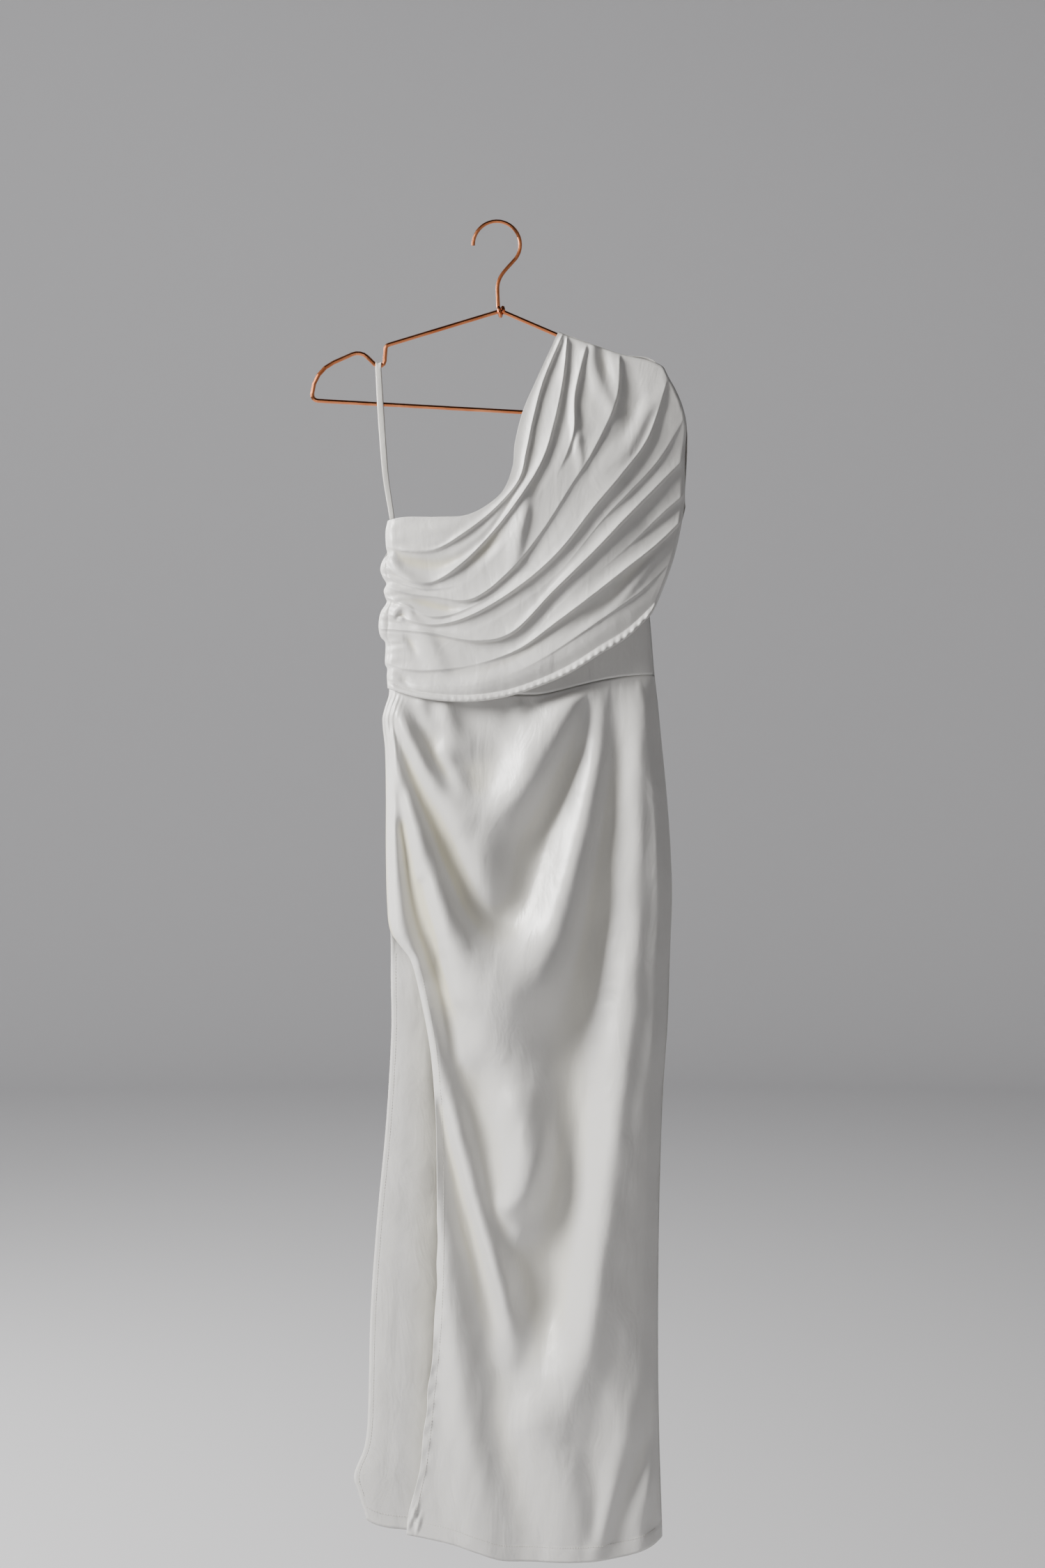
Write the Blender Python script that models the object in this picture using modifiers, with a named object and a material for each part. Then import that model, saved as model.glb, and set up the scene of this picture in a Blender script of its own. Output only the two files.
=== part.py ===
"""One-shoulder satin dress hung from a bent wire hanger.

The dress hangs flat, its front to -Y. The origin is the inside top of the hook's crown,
where a rail or wall hook carries everything. Sizes below are in millimetres: x runs to the
viewer's right, z is height, and depth is how far a panel stands in front of (or behind)
the plane of the hanger wire.
"""
import math

import bpy

MM = 0.001

# Driving sizes
WALL = 1.5             # modelled cloth wall
RIBBON_WALL = 1.0
SEAM = 0.3             # gap between two sewn pieces
FRAME_WIRE = 4.8       # wire diameters
HOOK_WIRE = 4.2
TILT = math.radians(3.2)          # the loaded hanger hangs this much lower on its right
APEX = (4.8, -100.8)              # where the two hanger arms meet
CROWN_RADIUS = 27.0               # hook centreline
CROWN_Z = -(CROWN_RADIUS - HOOK_WIRE / 2)
SLIT_Z = -818.0                   # top of the side slit
FRONT_COLUMNS = 26                # bodice and skirt share these, so that their waist edges match
BACK_COLUMNS = 14
ARM_ROOM = 5.0                    # how far the drape stands off the bodice where the arm comes out
HIDDEN_DROP = 1.4                 # the skirt starts lower at the left, where the drape hides it

# Outlines, as (z, x)
BODY_LEFT = [(-340, -124.3), (-430, -124.2), (-525, -123.4), (-542, -123.6), (-556, -128), (-570, -131),
             (-604, -128), (-656, -127), (-724, -127), (-783, -125.5), (-812, -122)]
FRONT_SLIT = [(-828, -112), (-845, -99), (-880, -89), (-949, -76), (-1024, -70), (-1104, -68.5),
              (-1184, -68), (-1264, -71), (-1344, -79), (-1424, -88), (-1484, -101), (-1504, -104)]
BACK_SLIT = [(-865, -121.6), (-927, -121), (-1032, -127), (-1151, -138), (-1254, -145),
             (-1370, -148), (-1405, -152), (-1438, -164), (-1454, -160), (-1486, -150)]
BODY_RIGHT = [(-340, 168), (-430, 174), (-480, 178), (-518, 181), (-553, 185), (-590, 188.5),
              (-651, 194.5), (-712, 199), (-774, 201), (-842, 198.5), (-915, 196), (-989, 191),
              (-1062, 188), (-1176, 185.5), (-1304, 185), (-1397, 186.5), (-1506, 190)]

# Edges that run across, as (x, z)
WAIST = [(-134, -532), (-60, -538), (43, -542), (70, -537.5), (95, -531), (121, -525),
         (146, -521), (182, -518.5)]
BODICE_TOP = [(-125, -350), (30, -356), (170, -352)]
FRONT_HEM = [(-104, -1504), (-54, -1512), (-22, -1521), (5, -1529), (26, -1530.5), (106, -1529),
             (146, -1524), (177, -1514.5), (190, -1506.5)]
BACK_HEM = [(-160, -1484), (-136, -1495), (-104, -1499), (0, -1503), (100, -1503), (190, -1496)]

# Depth of the flat-hung body, as (z, front, back)
BODY_DEPTH = [(-340, 12, 8), (-530, 15, 9), (-700, 23, 13), (-1000, 28, 16), (-1300, 27, 16),
              (-1530, 26, 15)]

# Folds of the skirt front: crest height, half width on the upper side, half width on the
# lower side, and the route of the crest as (x, z). They swing from the gathers at the left
# side seam to the tucks in the waist seam at the right.
SKIRT_FOLDS = {
    "first swag":   (9, 34, 26, [(-122, -549), (-86, -610), (-50, -658), (-10, -674), (30, -648),
                                 (70, -596), (102, -550)]),
    "second swag":  (15, 44, 34, [(-118, -560), (-88, -696), (-57, -792), (-25, -875), (6, -911),
                                  (36, -882), (68, -794), (92, -676), (118, -556)]),
    "inner swag":   (6, 20, 18, [(-112, -590), (-80, -668), (-48, -736), (-18, -786), (4, -806)]),
    "hook fold":    (11, 34, 26, [(-39, -866), (-16, -930), (14, -996), (38, -1048), (38, -1094),
                                  (14, -1128), (-12, -1146)]),
    "long swag":    (17, 40, 36, [(-120, -600), (-112, -780), (-90, -870), (-62, -990), (-40, -1080),
                                  (-8, -1180), (30, -1272), (56, -1326), (84, -1284), (112, -1190),
                                  (142, -984), (164, -750), (156, -560)]),
    "slit fold":    (7, 20, 24, [(-48, -1110), (-44, -1200), (-40, -1300), (-26, -1400), (0, -1500)]),
    "hem fold":     (8, 30, 30, [(168, -1300), (140, -1400), (112, -1500)]),
    "side fold":    (4, 16, 12, [(176, -560), (182, -700), (176, -900), (170, -1080)]),
}

# Folds of the drape, from the neckline down to its hem: crest height and the route of the
# crest as (x, z), from the shoulder seam or the fold over the arm to the left side seam.
DRAPE_FOLDS = {
    "neckline":       (2, [(71, -125), (46, -180), (23, -244), (17, -284), (-5, -324), (-54, -339),
                           (-100, -338), (-125, -342)]),
    "neck roll":      (6, [(78, -128), (56, -180), (36, -250), (26, -298), (-14, -343), (-58, -372),
                           (-92, -381), (-129, -371)]),
    "first pleat":    (9, [(88, -132), (74, -204), (54, -272), (30, -310), (-10, -364), (-50, -402),
                           (-84, -414), (-135, -394)]),
    "second pleat":   (8, [(104, -137.5), (89, -204), (86, -276), (58, -332), (10, -398), (-42, -425),
                           (-88, -426), (-128, -414)]),
    "third pleat":    (9, [(141, -150), (137, -204), (108, -264), (72, -326), (22, -396), (-36, -437),
                           (-88, -437), (-130, -424)]),
    "shoulder point": (2, [(184, -161), (166, -212), (128, -278), (84, -338), (30, -402), (-34, -443),
                           (-88, -448), (-129, -433)]),
    "fourth pleat":   (10, [(201, -181), (173, -244), (126, -312), (78, -375), (20, -420), (-36, -450),
                            (-88, -458), (-134, -446)]),
    "arm fold":       (2, [(216.5, -222), (184, -270), (136, -330), (84, -388), (24, -434), (-36, -462),
                           (-92, -466), (-136, -460)]),
    "fifth pleat":    (10, [(216, -270), (178, -308), (122, -367), (78, -412), (24, -462), (-34, -477),
                            (-90, -475), (-133, -475)]),
    "small pleat":    (5, [(216, -311), (182, -340), (134, -387), (88, -430), (34, -478), (-30, -496),
                           (-88, -494), (-128, -488)]),
    "sixth pleat":    (12, [(213, -341), (168, -384), (120, -420), (78, -451), (26, -490), (-32, -511),
                            (-88, -513), (-128, -504)]),
    "hem roll":       (5, [(203, -386), (158, -428), (110, -466), (70, -494), (20, -518), (-32, -531),
                           (-88, -528), (-125, -517)]),
    "hem":            (0, [(178, -449), (146, -480), (108, -503), (68, -528), (21, -545), (-32, -550),
                           (-88, -545), (-125, -534)]),
}

# The same routes serve the hidden back, which has four soft pleats. Its neckline and hem
# stay a few millimetres behind those of the front.
BACK_PLEATS = {"neckline": 0, "second pleat": 5, "shoulder point": 1, "arm fold": 5,
               "small pleat": 2, "hem": 0}

# Half of the hanger, measured from its apex in its own untilted frame, as corners of the
# wire with a bend radius: (x outwards, z, radius)
HANGER_CORNERS = {
    "arm end":  (129.8, -47.3, 5),
    "notch":    (130.3, -79.2, 6.5),
    "hump":     (158.2, -54.5, 16),
    "shoulder": (211.0, -81.5, 41),
    "bar end":  (211.0, -114.8, 7),
}

# Route of the ribbon loop seen from the front, as (x, z, half width); it turns edge-on below
RIBBON = [(-135.8, -168, 3.3), (-134, -200, 3.6), (-131.5, -240, 3.6), (-127.5, -290, 3.4),
          (-121.5, -330, 3.0), (-119.5, -344, 2.4)]

IVORY = (0.86, 0.83, 0.77, 1.0)
COPPER = (0.72, 0.33, 0.17, 1.0)


# Small maths

def lookup(table, key, column=1):
    """Smooth value of a column of a table sorted by its first column, either way round."""
    rows = sorted(table)
    if key <= rows[0][0]:
        return rows[0][column]
    if key >= rows[-1][0]:
        return rows[-1][column]
    for i in range(len(rows) - 1):
        if key <= rows[i + 1][0]:
            break
    a, b = rows[i], rows[i + 1]
    span = b[0] - a[0]
    before = rows[max(i - 1, 0)]
    after = rows[min(i + 2, len(rows) - 1)]
    slope_a = (b[column] - before[column]) / (b[0] - before[0])
    slope_b = (after[column] - a[column]) / (after[0] - a[0])
    t = (key - a[0]) / span
    return ((2 * t ** 3 - 3 * t ** 2 + 1) * a[column] + (t ** 3 - 2 * t ** 2 + t) * span * slope_a
            + (3 * t ** 2 - 2 * t ** 3) * b[column] + (t ** 3 - t ** 2) * span * slope_b)


def ramp(value, start, end):
    """0 at start, 1 at end, with soft ends."""
    t = min(max((value - start) / (end - start), 0.0), 1.0)
    return t * t * (3 - 2 * t)


def smooth_route(points, steps=12):
    """Catmull-Rom curve through the points, as a dense list."""
    ends = [points[0]] + list(points) + [points[-1]]
    out = []
    for i in range(len(points) - 1):
        p0, p1, p2, p3 = ends[i:i + 4]
        for k in range(steps):
            t = k / steps
            out.append(tuple(0.5 * (2 * b + (c - a) * t + (2 * a - 5 * b + 4 * c - d) * t * t
                                    + (3 * b - a - 3 * c + d) * t ** 3)
                             for a, b, c, d in zip(p0, p1, p2, p3)))
    out.append(tuple(points[-1]))
    return out


def point_at(route, fraction):
    """Point of a dense route, which has the same number of steps between all its given points."""
    place = fraction * (len(route) - 1)
    i = min(int(place), len(route) - 2)
    return tuple(a + (b - a) * (place - i) for a, b in zip(route[i], route[i + 1]))


def nearest(route, x, z):
    """Signed distance to a dense route (positive on its left hand) and the place along it."""
    best = (1e9, 0.0, 1.0)
    for i in range(len(route) - 1):
        (ax, az), (bx, bz) = route[i], route[i + 1]
        dx, dz = bx - ax, bz - az
        t = min(max(((x - ax) * dx + (z - az) * dz) / (dx * dx + dz * dz + 1e-9), 0.0), 1.0)
        gap = math.hypot(x - ax - t * dx, z - az - t * dz)
        if gap < best[0]:
            side = 1.0 if dx * (z - az) - dz * (x - ax) > 0 else -1.0
            best = (gap, (i + t) / (len(route) - 1), side)
    return best[0] * best[2], best[1]


# Blender helpers

def new_collection(name):
    collection = bpy.data.collections.new(name)
    bpy.context.scene.collection.children.link(collection)
    return collection


def material(name, colour, roughness, metallic):
    mat = bpy.data.materials.new(name)
    mat.use_nodes = True
    shader = mat.node_tree.nodes["Principled BSDF"]
    shader.inputs["Base Color"].default_value = colour
    shader.inputs["Roughness"].default_value = roughness
    shader.inputs["Metallic"].default_value = metallic
    return mat


def cloth_panel(name, columns, rows, place, wall=WALL, colour=IVORY):
    """Grid whose points are placed by place(i, j), given its wall by Solidify, outwards."""
    bpy.ops.mesh.primitive_grid_add(x_subdivisions=columns, y_subdivisions=rows, size=1)
    panel = bpy.context.object
    panel.name = panel.data.name = name
    for vertex in panel.data.vertices:
        i = round((vertex.co.x + 0.5) * columns)
        j = round((0.5 - vertex.co.y) * rows)
        vertex.co = [value * MM for value in place(i, j)]
    solid = panel.modifiers.new("wall", 'SOLIDIFY')
    solid.thickness = wall * MM
    solid.offset = 1.0
    solid.use_even_offset = True
    solid.use_quality_normals = True
    keep(panel, material(name, colour, 0.38, 0.0))
    return panel


def wire(name, points, diameter, closed):
    """Round wire along a list of points."""
    curve = bpy.data.curves.new(name, 'CURVE')
    curve.dimensions = '3D'
    curve.bevel_depth = diameter / 2 * MM
    curve.bevel_resolution = 2
    curve.use_fill_caps = True
    spline = curve.splines.new('POLY')
    spline.points.add(len(points) - 1)
    for target, (x, y, z) in zip(spline.points, points):
        target.co = (x * MM, y * MM, z * MM, 1)
    spline.use_cyclic_u = closed
    obj = bpy.data.objects.new(name, curve)
    bpy.context.scene.collection.objects.link(obj)
    keep(obj, material(name, COPPER, 0.25, 1.0))
    return obj


def keep(obj, mat):
    """Gives the object its material and moves it into the dress collection."""
    obj.data.materials.append(mat)
    for other in list(obj.users_collection):
        other.objects.unlink(obj)
    dress.objects.link(obj)


# Body of the dress

def body_section(x, z, left, right, side, slit=0.0):
    """Depth of the inside of a body panel: flat in the middle and rounded to its side seams."""
    t = (2 * x - left - right) / (right - left)
    t = min(max(t, -1.0), 1.0)
    rounded = math.sqrt(max(1 - t ** 4, 0.0))
    if t < 0 and slit > 0:
        rounded += (1 - t * t - rounded) * slit
    return lookup(BODY_DEPTH, z, side) * rounded


def skirt_folds(x, z):
    """How far the folds of the skirt front stand out at a point."""
    total = 0.0
    for rise, above, below, route in skirt_routes:
        gap, along = nearest(route, x, z)
        width = above if gap > 0 else below
        if abs(gap) < width:
            fade = ramp(along, 0, 0.12) * ramp(1 - along, 0, 0.12)
            total = max(total, 0) + rise * fade * 0.5 * (1 + math.cos(math.pi * gap / width))
    return total


def across(u, v, left, right, top, bottom):
    """Point of a panel: u from its left edge to its right, v from its top edge to its bottom."""
    x = (lookup(left, -700) + lookup(right, -700)) / 2
    for _ in range(6):
        z = lookup(top, x) * (1 - v) + lookup(bottom, x) * v
        x = lookup(left, z) * (1 - u) + lookup(right, z) * u
    return x, z


def spread(count, i, edge):
    """Fraction i of count steps, closer together near both ends."""
    t = i / count
    return t - edge * math.sin(2 * math.pi * t) / (2 * math.pi)


def build_skirt_front():
    left = BODY_LEFT + FRONT_SLIT
    top = [(x, z - SEAM / 2 - HIDDEN_DROP * ramp(-x, 80, 112)) for x, z in WAIST_FINE]
    columns, rows = FRONT_COLUMNS, 38

    def place(i, j):
        u, v = spread(columns, i, 0.55), j / rows
        x, z = across(u, v, left, BODY_RIGHT, top, FRONT_HEM)
        edge_left, edge_right = lookup(left, z), lookup(BODY_RIGHT, z)
        open_side = ramp(-z, -SLIT_Z - 10, -SLIT_Z + 60)
        depth = SEAM / 2 + 2.6 * open_side * (1 - u) + body_section(x, z, edge_left, edge_right, 1, open_side)
        quiet = ramp(lookup(top, x) - z, 2, 70) * ramp(edge_right - x, 0, 26)
        quiet *= ramp(x - edge_left, 0, 22)
        return x, -depth - skirt_folds(x, z) * quiet, z

    return cloth_panel("skirt_front", columns, rows, place)


def build_skirt_back():
    left = BODY_LEFT + BACK_SLIT
    top = [(x, z - SEAM / 2 - HIDDEN_DROP * ramp(-x, 80, 112)) for x, z in WAIST_FINE]
    columns, rows = BACK_COLUMNS, 24

    def place(i, j):
        u, v = spread(columns, columns - i, 0.55), j / rows
        x, z = across(u, v, left, BODY_RIGHT, top, BACK_HEM)
        depth = body_section(x, z, lookup(left, z), lookup(BODY_RIGHT, z), 2)
        showing = ramp(-z, -SLIT_Z - 60, -SLIT_Z + 60)
        depth *= 1 - showing * (1 - ramp(x, -90, 10))
        flute = 2.5 * math.sin(x / 26) * ramp(-z, 700, 1300) * ramp(x, -60, 20) * ramp(-x, -185, -150)
        return x, SEAM / 2 + depth + flute, z

    return cloth_panel("skirt_back", columns, rows, place)


def build_bodice(name, side, columns):
    """Base bodice panel: its lower right shows under the drape, the rest is plain."""
    bottom = [(x, z + SEAM / 2) for x, z in WAIST_FINE]
    rows = 4
    facing = -1 if side == 1 else 1

    def place(i, j):
        u = spread(columns, i if side == 1 else columns - i, 0.55)
        x, z = across(u, j / rows, BODY_LEFT, BODY_RIGHT, BODICE_TOP, bottom)
        depth = SEAM / 2 + body_section(x, z, lookup(BODY_LEFT, z), lookup(BODY_RIGHT, z), side)
        return x, facing * depth, z

    return cloth_panel(name, columns, rows, place)


# The drape

def drape_point(routes, heights, u, v, side):
    """Point of the drape: u along the pleats from the shoulder, v counts the pleats."""
    k = min(int(v), len(routes) - 2)
    part = v - k
    here, there = point_at(routes[k], u), point_at(routes[k + 1], u)
    before, after = point_at(routes[max(k - 1, 0)], u), point_at(routes[min(k + 2, len(routes) - 1)], u)
    x, z = (0.5 * (2 * b + (c - a) * part + (2 * a - 5 * b + 4 * c - d) * part ** 2
                   + (3 * b - a - 3 * c + d) * part ** 3)
            for a, b, c, d in zip(before, here, there, after))
    gap = math.dist(here, there)
    near = min(1.0, (gap / 26) ** 1.5)
    if part < 0.35:
        crest = heights[k] * (1 - ramp(part, 0, 0.35))
    else:
        crest = heights[k + 1] * ramp(part, 0.35, 1.0)
    hang = ramp(-z, 150, 350)
    left, right = lookup(BODY_LEFT, z), lookup(BODY_RIGHT, z)
    body = body_section(x, z, left, right, side)
    low = ramp(v, 0.7 * (len(routes) - 1), len(routes) - 1)
    depth = 3.4 + 2.2 * hang + body * hang + 2.6 * low + crest * near * ramp(u, 0.0, 0.08)
    if side == 1:
        depth += ARM_ROOM * ramp(x, 30, 100) * ramp(-z, 320, 420)
    first, last = point_at(routes[k], 0.0), point_at(routes[k], 1.0)
    edge = min(math.dist(here, first) / 7.0, math.dist(here, last) / 7.0, 1.0)
    return x, SEAM / 2 + depth * math.sqrt(max(1 - (1 - edge) ** 2, 0.0)), z


def drape_columns(columns):
    """Fractions along the pleats: three close steps at each seam, then even ones."""
    close = [0.0, 0.004, 0.011, 0.022]
    inner = [0.022 + (1 - 0.044) * i / (columns - 6) for i in range(1, columns - 6)]
    return close + inner + [1 - c for c in reversed(close)]


def build_drape(name, side):
    if side == 1:
        heights = [row[0] for row in DRAPE_FOLDS.values()]
        routes = [smooth_route(row[1]) for row in DRAPE_FOLDS.values()]
        steps, columns = 3, 24
    else:
        heights = list(BACK_PLEATS.values())
        routes = []
        for key in BACK_PLEATS:
            shift = {"neckline": (4.0, -5.0), "hem": (0.0, 5.0)}.get(key, (0.0, 0.0))
            points = DRAPE_FOLDS[key][1]
            last = len(points) - 1
            routes.append(smooth_route([(x + shift[0], z + shift[1]) if 0 < n < last else (x, z)
                                        for n, (x, z) in enumerate(points)]))
        steps, columns = 3, 16
    rows = steps * (len(routes) - 1)
    along = drape_columns(columns)
    facing = -1 if side == 1 else 1

    def place(i, j):
        u = along[columns - i if side == 1 else i]
        x, depth, z = drape_point(routes, heights, u, j / steps, side)
        return x, facing * depth, z

    return cloth_panel(name, columns, rows, place)


# Hanger and its ribbon loop

def hanger_place(x, z):
    """From the hanger's own frame to the hung, tilted place."""
    return (APEX[0] + x * math.cos(TILT) + z * math.sin(TILT),
            APEX[1] - x * math.sin(TILT) + z * math.cos(TILT))


def bent(corners, steps=4):
    """Closed polyline through corners (x, z, radius) with each corner rounded."""
    out = []
    count = len(corners)
    for n, (x, z, radius) in enumerate(corners):
        ax, az, _ = corners[n - 1]
        bx, bz, _ = corners[(n + 1) % count]
        la, lb = math.hypot(ax - x, az - z), math.hypot(bx - x, bz - z)
        ua, ub = ((ax - x) / la, (az - z) / la), ((bx - x) / lb, (bz - z) / lb)
        angle = math.acos(ua[0] * ub[0] + ua[1] * ub[1])
        reach = radius / math.tan(angle / 2)
        start = (x + ua[0] * reach, z + ua[1] * reach)
        end = (x + ub[0] * reach, z + ub[1] * reach)
        mid = (ua[0] + ub[0], ua[1] + ub[1])
        scale = radius / math.sin(angle / 2) / math.hypot(*mid)
        centre = (x + mid[0] * scale, z + mid[1] * scale)
        a0 = math.atan2(start[1] - centre[1], start[0] - centre[0])
        a1 = math.atan2(end[1] - centre[1], end[0] - centre[0])
        turn = (a1 - a0 + math.pi) % (2 * math.pi) - math.pi
        for k in range(steps + 1):
            a = a0 + turn * k / steps
            out.append((centre[0] + radius * math.cos(a), centre[1] + radius * math.sin(a)))
    return out


def build_hanger_frame():
    half = list(HANGER_CORNERS.values())
    corners = [(0.0, 0.0, 8.0)] + half + [(-x, z, r) for x, z, r in reversed(half)]
    points = [hanger_place(x, z) for x, z in bent(corners)]
    return wire("hanger_frame", [(x, 0.0, z) for x, z in points], FRAME_WIRE, True)


def build_hanger_hook():
    """Open hook above the apex; its lower end wraps once and a quarter round the frame."""
    points = []
    for k in range(25):
        angle = math.radians(182 - 218 * k / 24)
        points.append((CROWN_RADIUS * math.cos(angle), 0.0, CROWN_Z + CROWN_RADIUS * math.sin(angle)))
    points += smooth_route([(16.4, 0.0, -46.8), (9.4, 0.0, -54.6), (4.2, 0.0, -62.0), (1.4, 0.0, -70.0),
                            (1.0, 0.0, -78.0), (1.4, 0.0, -88.0)], 3)
    wrap = (FRAME_WIRE + HOOK_WIRE) / 2 + SEAM + 0.3
    turns, pitch, steps = 1.25, 4.9, 26
    for k in range(steps + 1):
        angle = 2 * math.pi * turns * k / steps
        points.append((APEX[0] - 2.9 + pitch * turns * k / steps, wrap * math.sin(-angle),
                       APEX[1] - 1.2 + wrap * math.cos(angle)))
    return wire("hanger_hook", points, HOOK_WIRE, False)


def build_hanger_loop():
    """Flat ribbon over the wire at the bottom of the left notch, one strand each side of it."""
    notch = (-135.6, -164.4)
    hold = FRAME_WIRE / 2 + SEAM + 0.3
    rows = []
    for facing in (1, -1):
        strand = []
        for x, z, half in RIBBON:
            depth = hold + (0.6 - hold) * ramp(-z, 236, 340)
            strand.append((x, facing * depth, z, half))
        rows += reversed(strand) if facing == 1 else strand
        if facing == 1:
            for k in range(1, 9):
                angle = math.pi * k / 9
                rows.append((notch[0], hold * math.cos(angle), notch[1] + hold * math.sin(angle), 3.2))
    over_wire = range(len(RIBBON), len(RIBBON) + 8)

    def place(i, j):
        x, y, z, half = rows[j]
        side = i / 2 - 1
        return x + side * half, y, z + (1.4 * side * side if j in over_wire else 0.0)

    return cloth_panel("hanger_loop", 4, len(rows) - 1, place, RIBBON_WALL)


for old in list(bpy.data.objects):
    bpy.data.objects.remove(old, do_unlink=True)

dress = new_collection("one_shoulder_dress")
WAIST_FINE = [(x, lookup(WAIST, x)) for x in range(-134, 190, 12)]
skirt_routes = [(rise, above, below, smooth_route(route, 6))
                for rise, above, below, route in SKIRT_FOLDS.values()]

build_hanger_frame()
build_hanger_hook()
build_hanger_loop()
build_bodice("bodice_front", 1, FRONT_COLUMNS)
build_bodice("bodice_back", 2, BACK_COLUMNS)
build_skirt_front()
build_skirt_back()
build_drape("drape_front", 1)
build_drape("drape_back", 2)
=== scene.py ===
"""One-shoulder satin dress on a bent copper hanger, as it hangs for a photograph."""
import math

import bpy
import numpy as np
from mathutils import Matrix, Vector


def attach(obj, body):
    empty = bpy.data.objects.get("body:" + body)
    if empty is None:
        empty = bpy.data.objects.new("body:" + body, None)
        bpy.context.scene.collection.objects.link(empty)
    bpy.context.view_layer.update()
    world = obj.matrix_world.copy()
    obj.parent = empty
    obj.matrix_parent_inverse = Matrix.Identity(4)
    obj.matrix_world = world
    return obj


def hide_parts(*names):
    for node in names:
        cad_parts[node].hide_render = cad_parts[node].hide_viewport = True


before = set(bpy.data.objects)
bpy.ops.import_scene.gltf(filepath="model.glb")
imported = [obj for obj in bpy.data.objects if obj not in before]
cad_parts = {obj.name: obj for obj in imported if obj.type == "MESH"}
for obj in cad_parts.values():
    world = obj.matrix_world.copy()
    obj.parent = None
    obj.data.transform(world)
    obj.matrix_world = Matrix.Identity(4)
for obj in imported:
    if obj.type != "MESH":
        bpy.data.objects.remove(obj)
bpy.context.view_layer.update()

# Studio. A turned sweep of pale grey paper serves as floor and backdrop from every side. A tall
# window-like light stands at the left, a weak card at the right, one lamp falls on the paper
# and one rakes the back. The camera faces the dress squarely from a long way off.
CENTRE = Vector((0.0296, 0.0, -0.644))  # what the camera looks at
FIELD = 1.80  # height of the view at the dress
CAMERA_AWAY = 3.3
FLOOR_Z = -1.72
SWEEP_RADIUS, SWEEP_COVE, SWEEP_HEIGHT = 7.0, 1.6, 7.5
SWEEP_SIDES, COVE_STEPS = 96, 10
ROOM_LIGHT = 0.02

camera_data = bpy.data.cameras.new("camera")
camera_data.lens = camera_data.sensor_width * CAMERA_AWAY / FIELD
camera = bpy.data.objects.new("camera", camera_data)
camera.location = CENTRE + Vector((0.0, -CAMERA_AWAY, 0.0))
camera.rotation_euler = (math.radians(90), 0.0, 0.0)
bpy.context.scene.collection.objects.link(camera)
bpy.context.scene.camera = camera


def only(obj=None):
    """Leaves just this object selected and active, or nothing."""
    bpy.ops.object.select_all(action='DESELECT')
    if obj is not None:
        obj.select_set(True)
        bpy.context.view_layer.objects.active = obj


def plain(name, colour, roughness):
    mat = bpy.data.materials.new(name)
    mat.use_nodes = True
    shader = mat.node_tree.nodes["Principled BSDF"]
    shader.inputs["Base Color"].default_value = (*colour, 1.0)
    shader.inputs["Roughness"].default_value = roughness
    return mat


def soft_light(name, place, size, power, colour, aim=CENTRE):
    lamp = bpy.data.lights.new(name, 'AREA')
    lamp.shape = 'RECTANGLE'
    lamp.size, lamp.size_y = size
    lamp.energy = power
    lamp.color = colour
    obj = bpy.data.objects.new(name, lamp)
    obj.location = place
    obj.rotation_euler = (Vector(aim) - Vector(place)).to_track_quat('-Z', 'Y').to_euler()
    obj.visible_camera = False
    bpy.context.scene.collection.objects.link(obj)


only()
bpy.ops.mesh.primitive_circle_add(vertices=SWEEP_SIDES, radius=SWEEP_RADIUS, fill_type='NGON',
                                  location=(0, 0, FLOOR_Z))
sweep = bpy.context.object
sweep.name = "studio_sweep"
bpy.ops.object.mode_set(mode='EDIT')
bpy.ops.mesh.select_all(action='SELECT')
bpy.ops.mesh.region_to_loop()
for step in range(COVE_STEPS):
    a, b = (math.pi / 2 * s / COVE_STEPS for s in (step, step + 1))
    grow = (SWEEP_RADIUS + SWEEP_COVE * math.sin(b)) / (SWEEP_RADIUS + SWEEP_COVE * math.sin(a))
    rise = SWEEP_COVE * (math.cos(a) - math.cos(b))
    bpy.ops.mesh.extrude_edges_move(TRANSFORM_OT_translate={"value": (0, 0, rise)})
    bpy.ops.transform.resize(value=(grow, grow, 1.0))
bpy.ops.mesh.extrude_edges_move(TRANSFORM_OT_translate={"value": (0, 0, SWEEP_HEIGHT)})
bpy.ops.object.mode_set(mode='OBJECT')
bpy.ops.object.shade_smooth()
sweep.data.materials.append(plain("pale_paper", (0.57, 0.567, 0.58), 0.95))

soft_light("window", (-2.55, -1.00, 0.75), (1.0, 1.5), 255, (1.0, 0.985, 0.96), (0.0, 0.0, -0.75))
soft_light("card", (1.8, -3.0, -0.6), (1.6, 2.0), 2, (0.93, 0.95, 1.0))
soft_light("backdrop", (-1.6, 1.6, 3.2), (4.0, 1.2), 235, (1.0, 1.0, 1.0), (-2.6, 8.0, 0.2))
soft_light("rear", (-2.4, 1.5, 0.6), (1.2, 1.6), 70, (1.0, 1.0, 1.0))
world = bpy.data.worlds.new("room")
world.use_nodes = True
world.node_tree.nodes["Background"].inputs["Color"].default_value = (0.82, 0.83, 0.86, 1.0)
world.node_tree.nodes["Background"].inputs["Strength"].default_value = ROOM_LIGHT
bpy.context.scene.world = world


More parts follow.
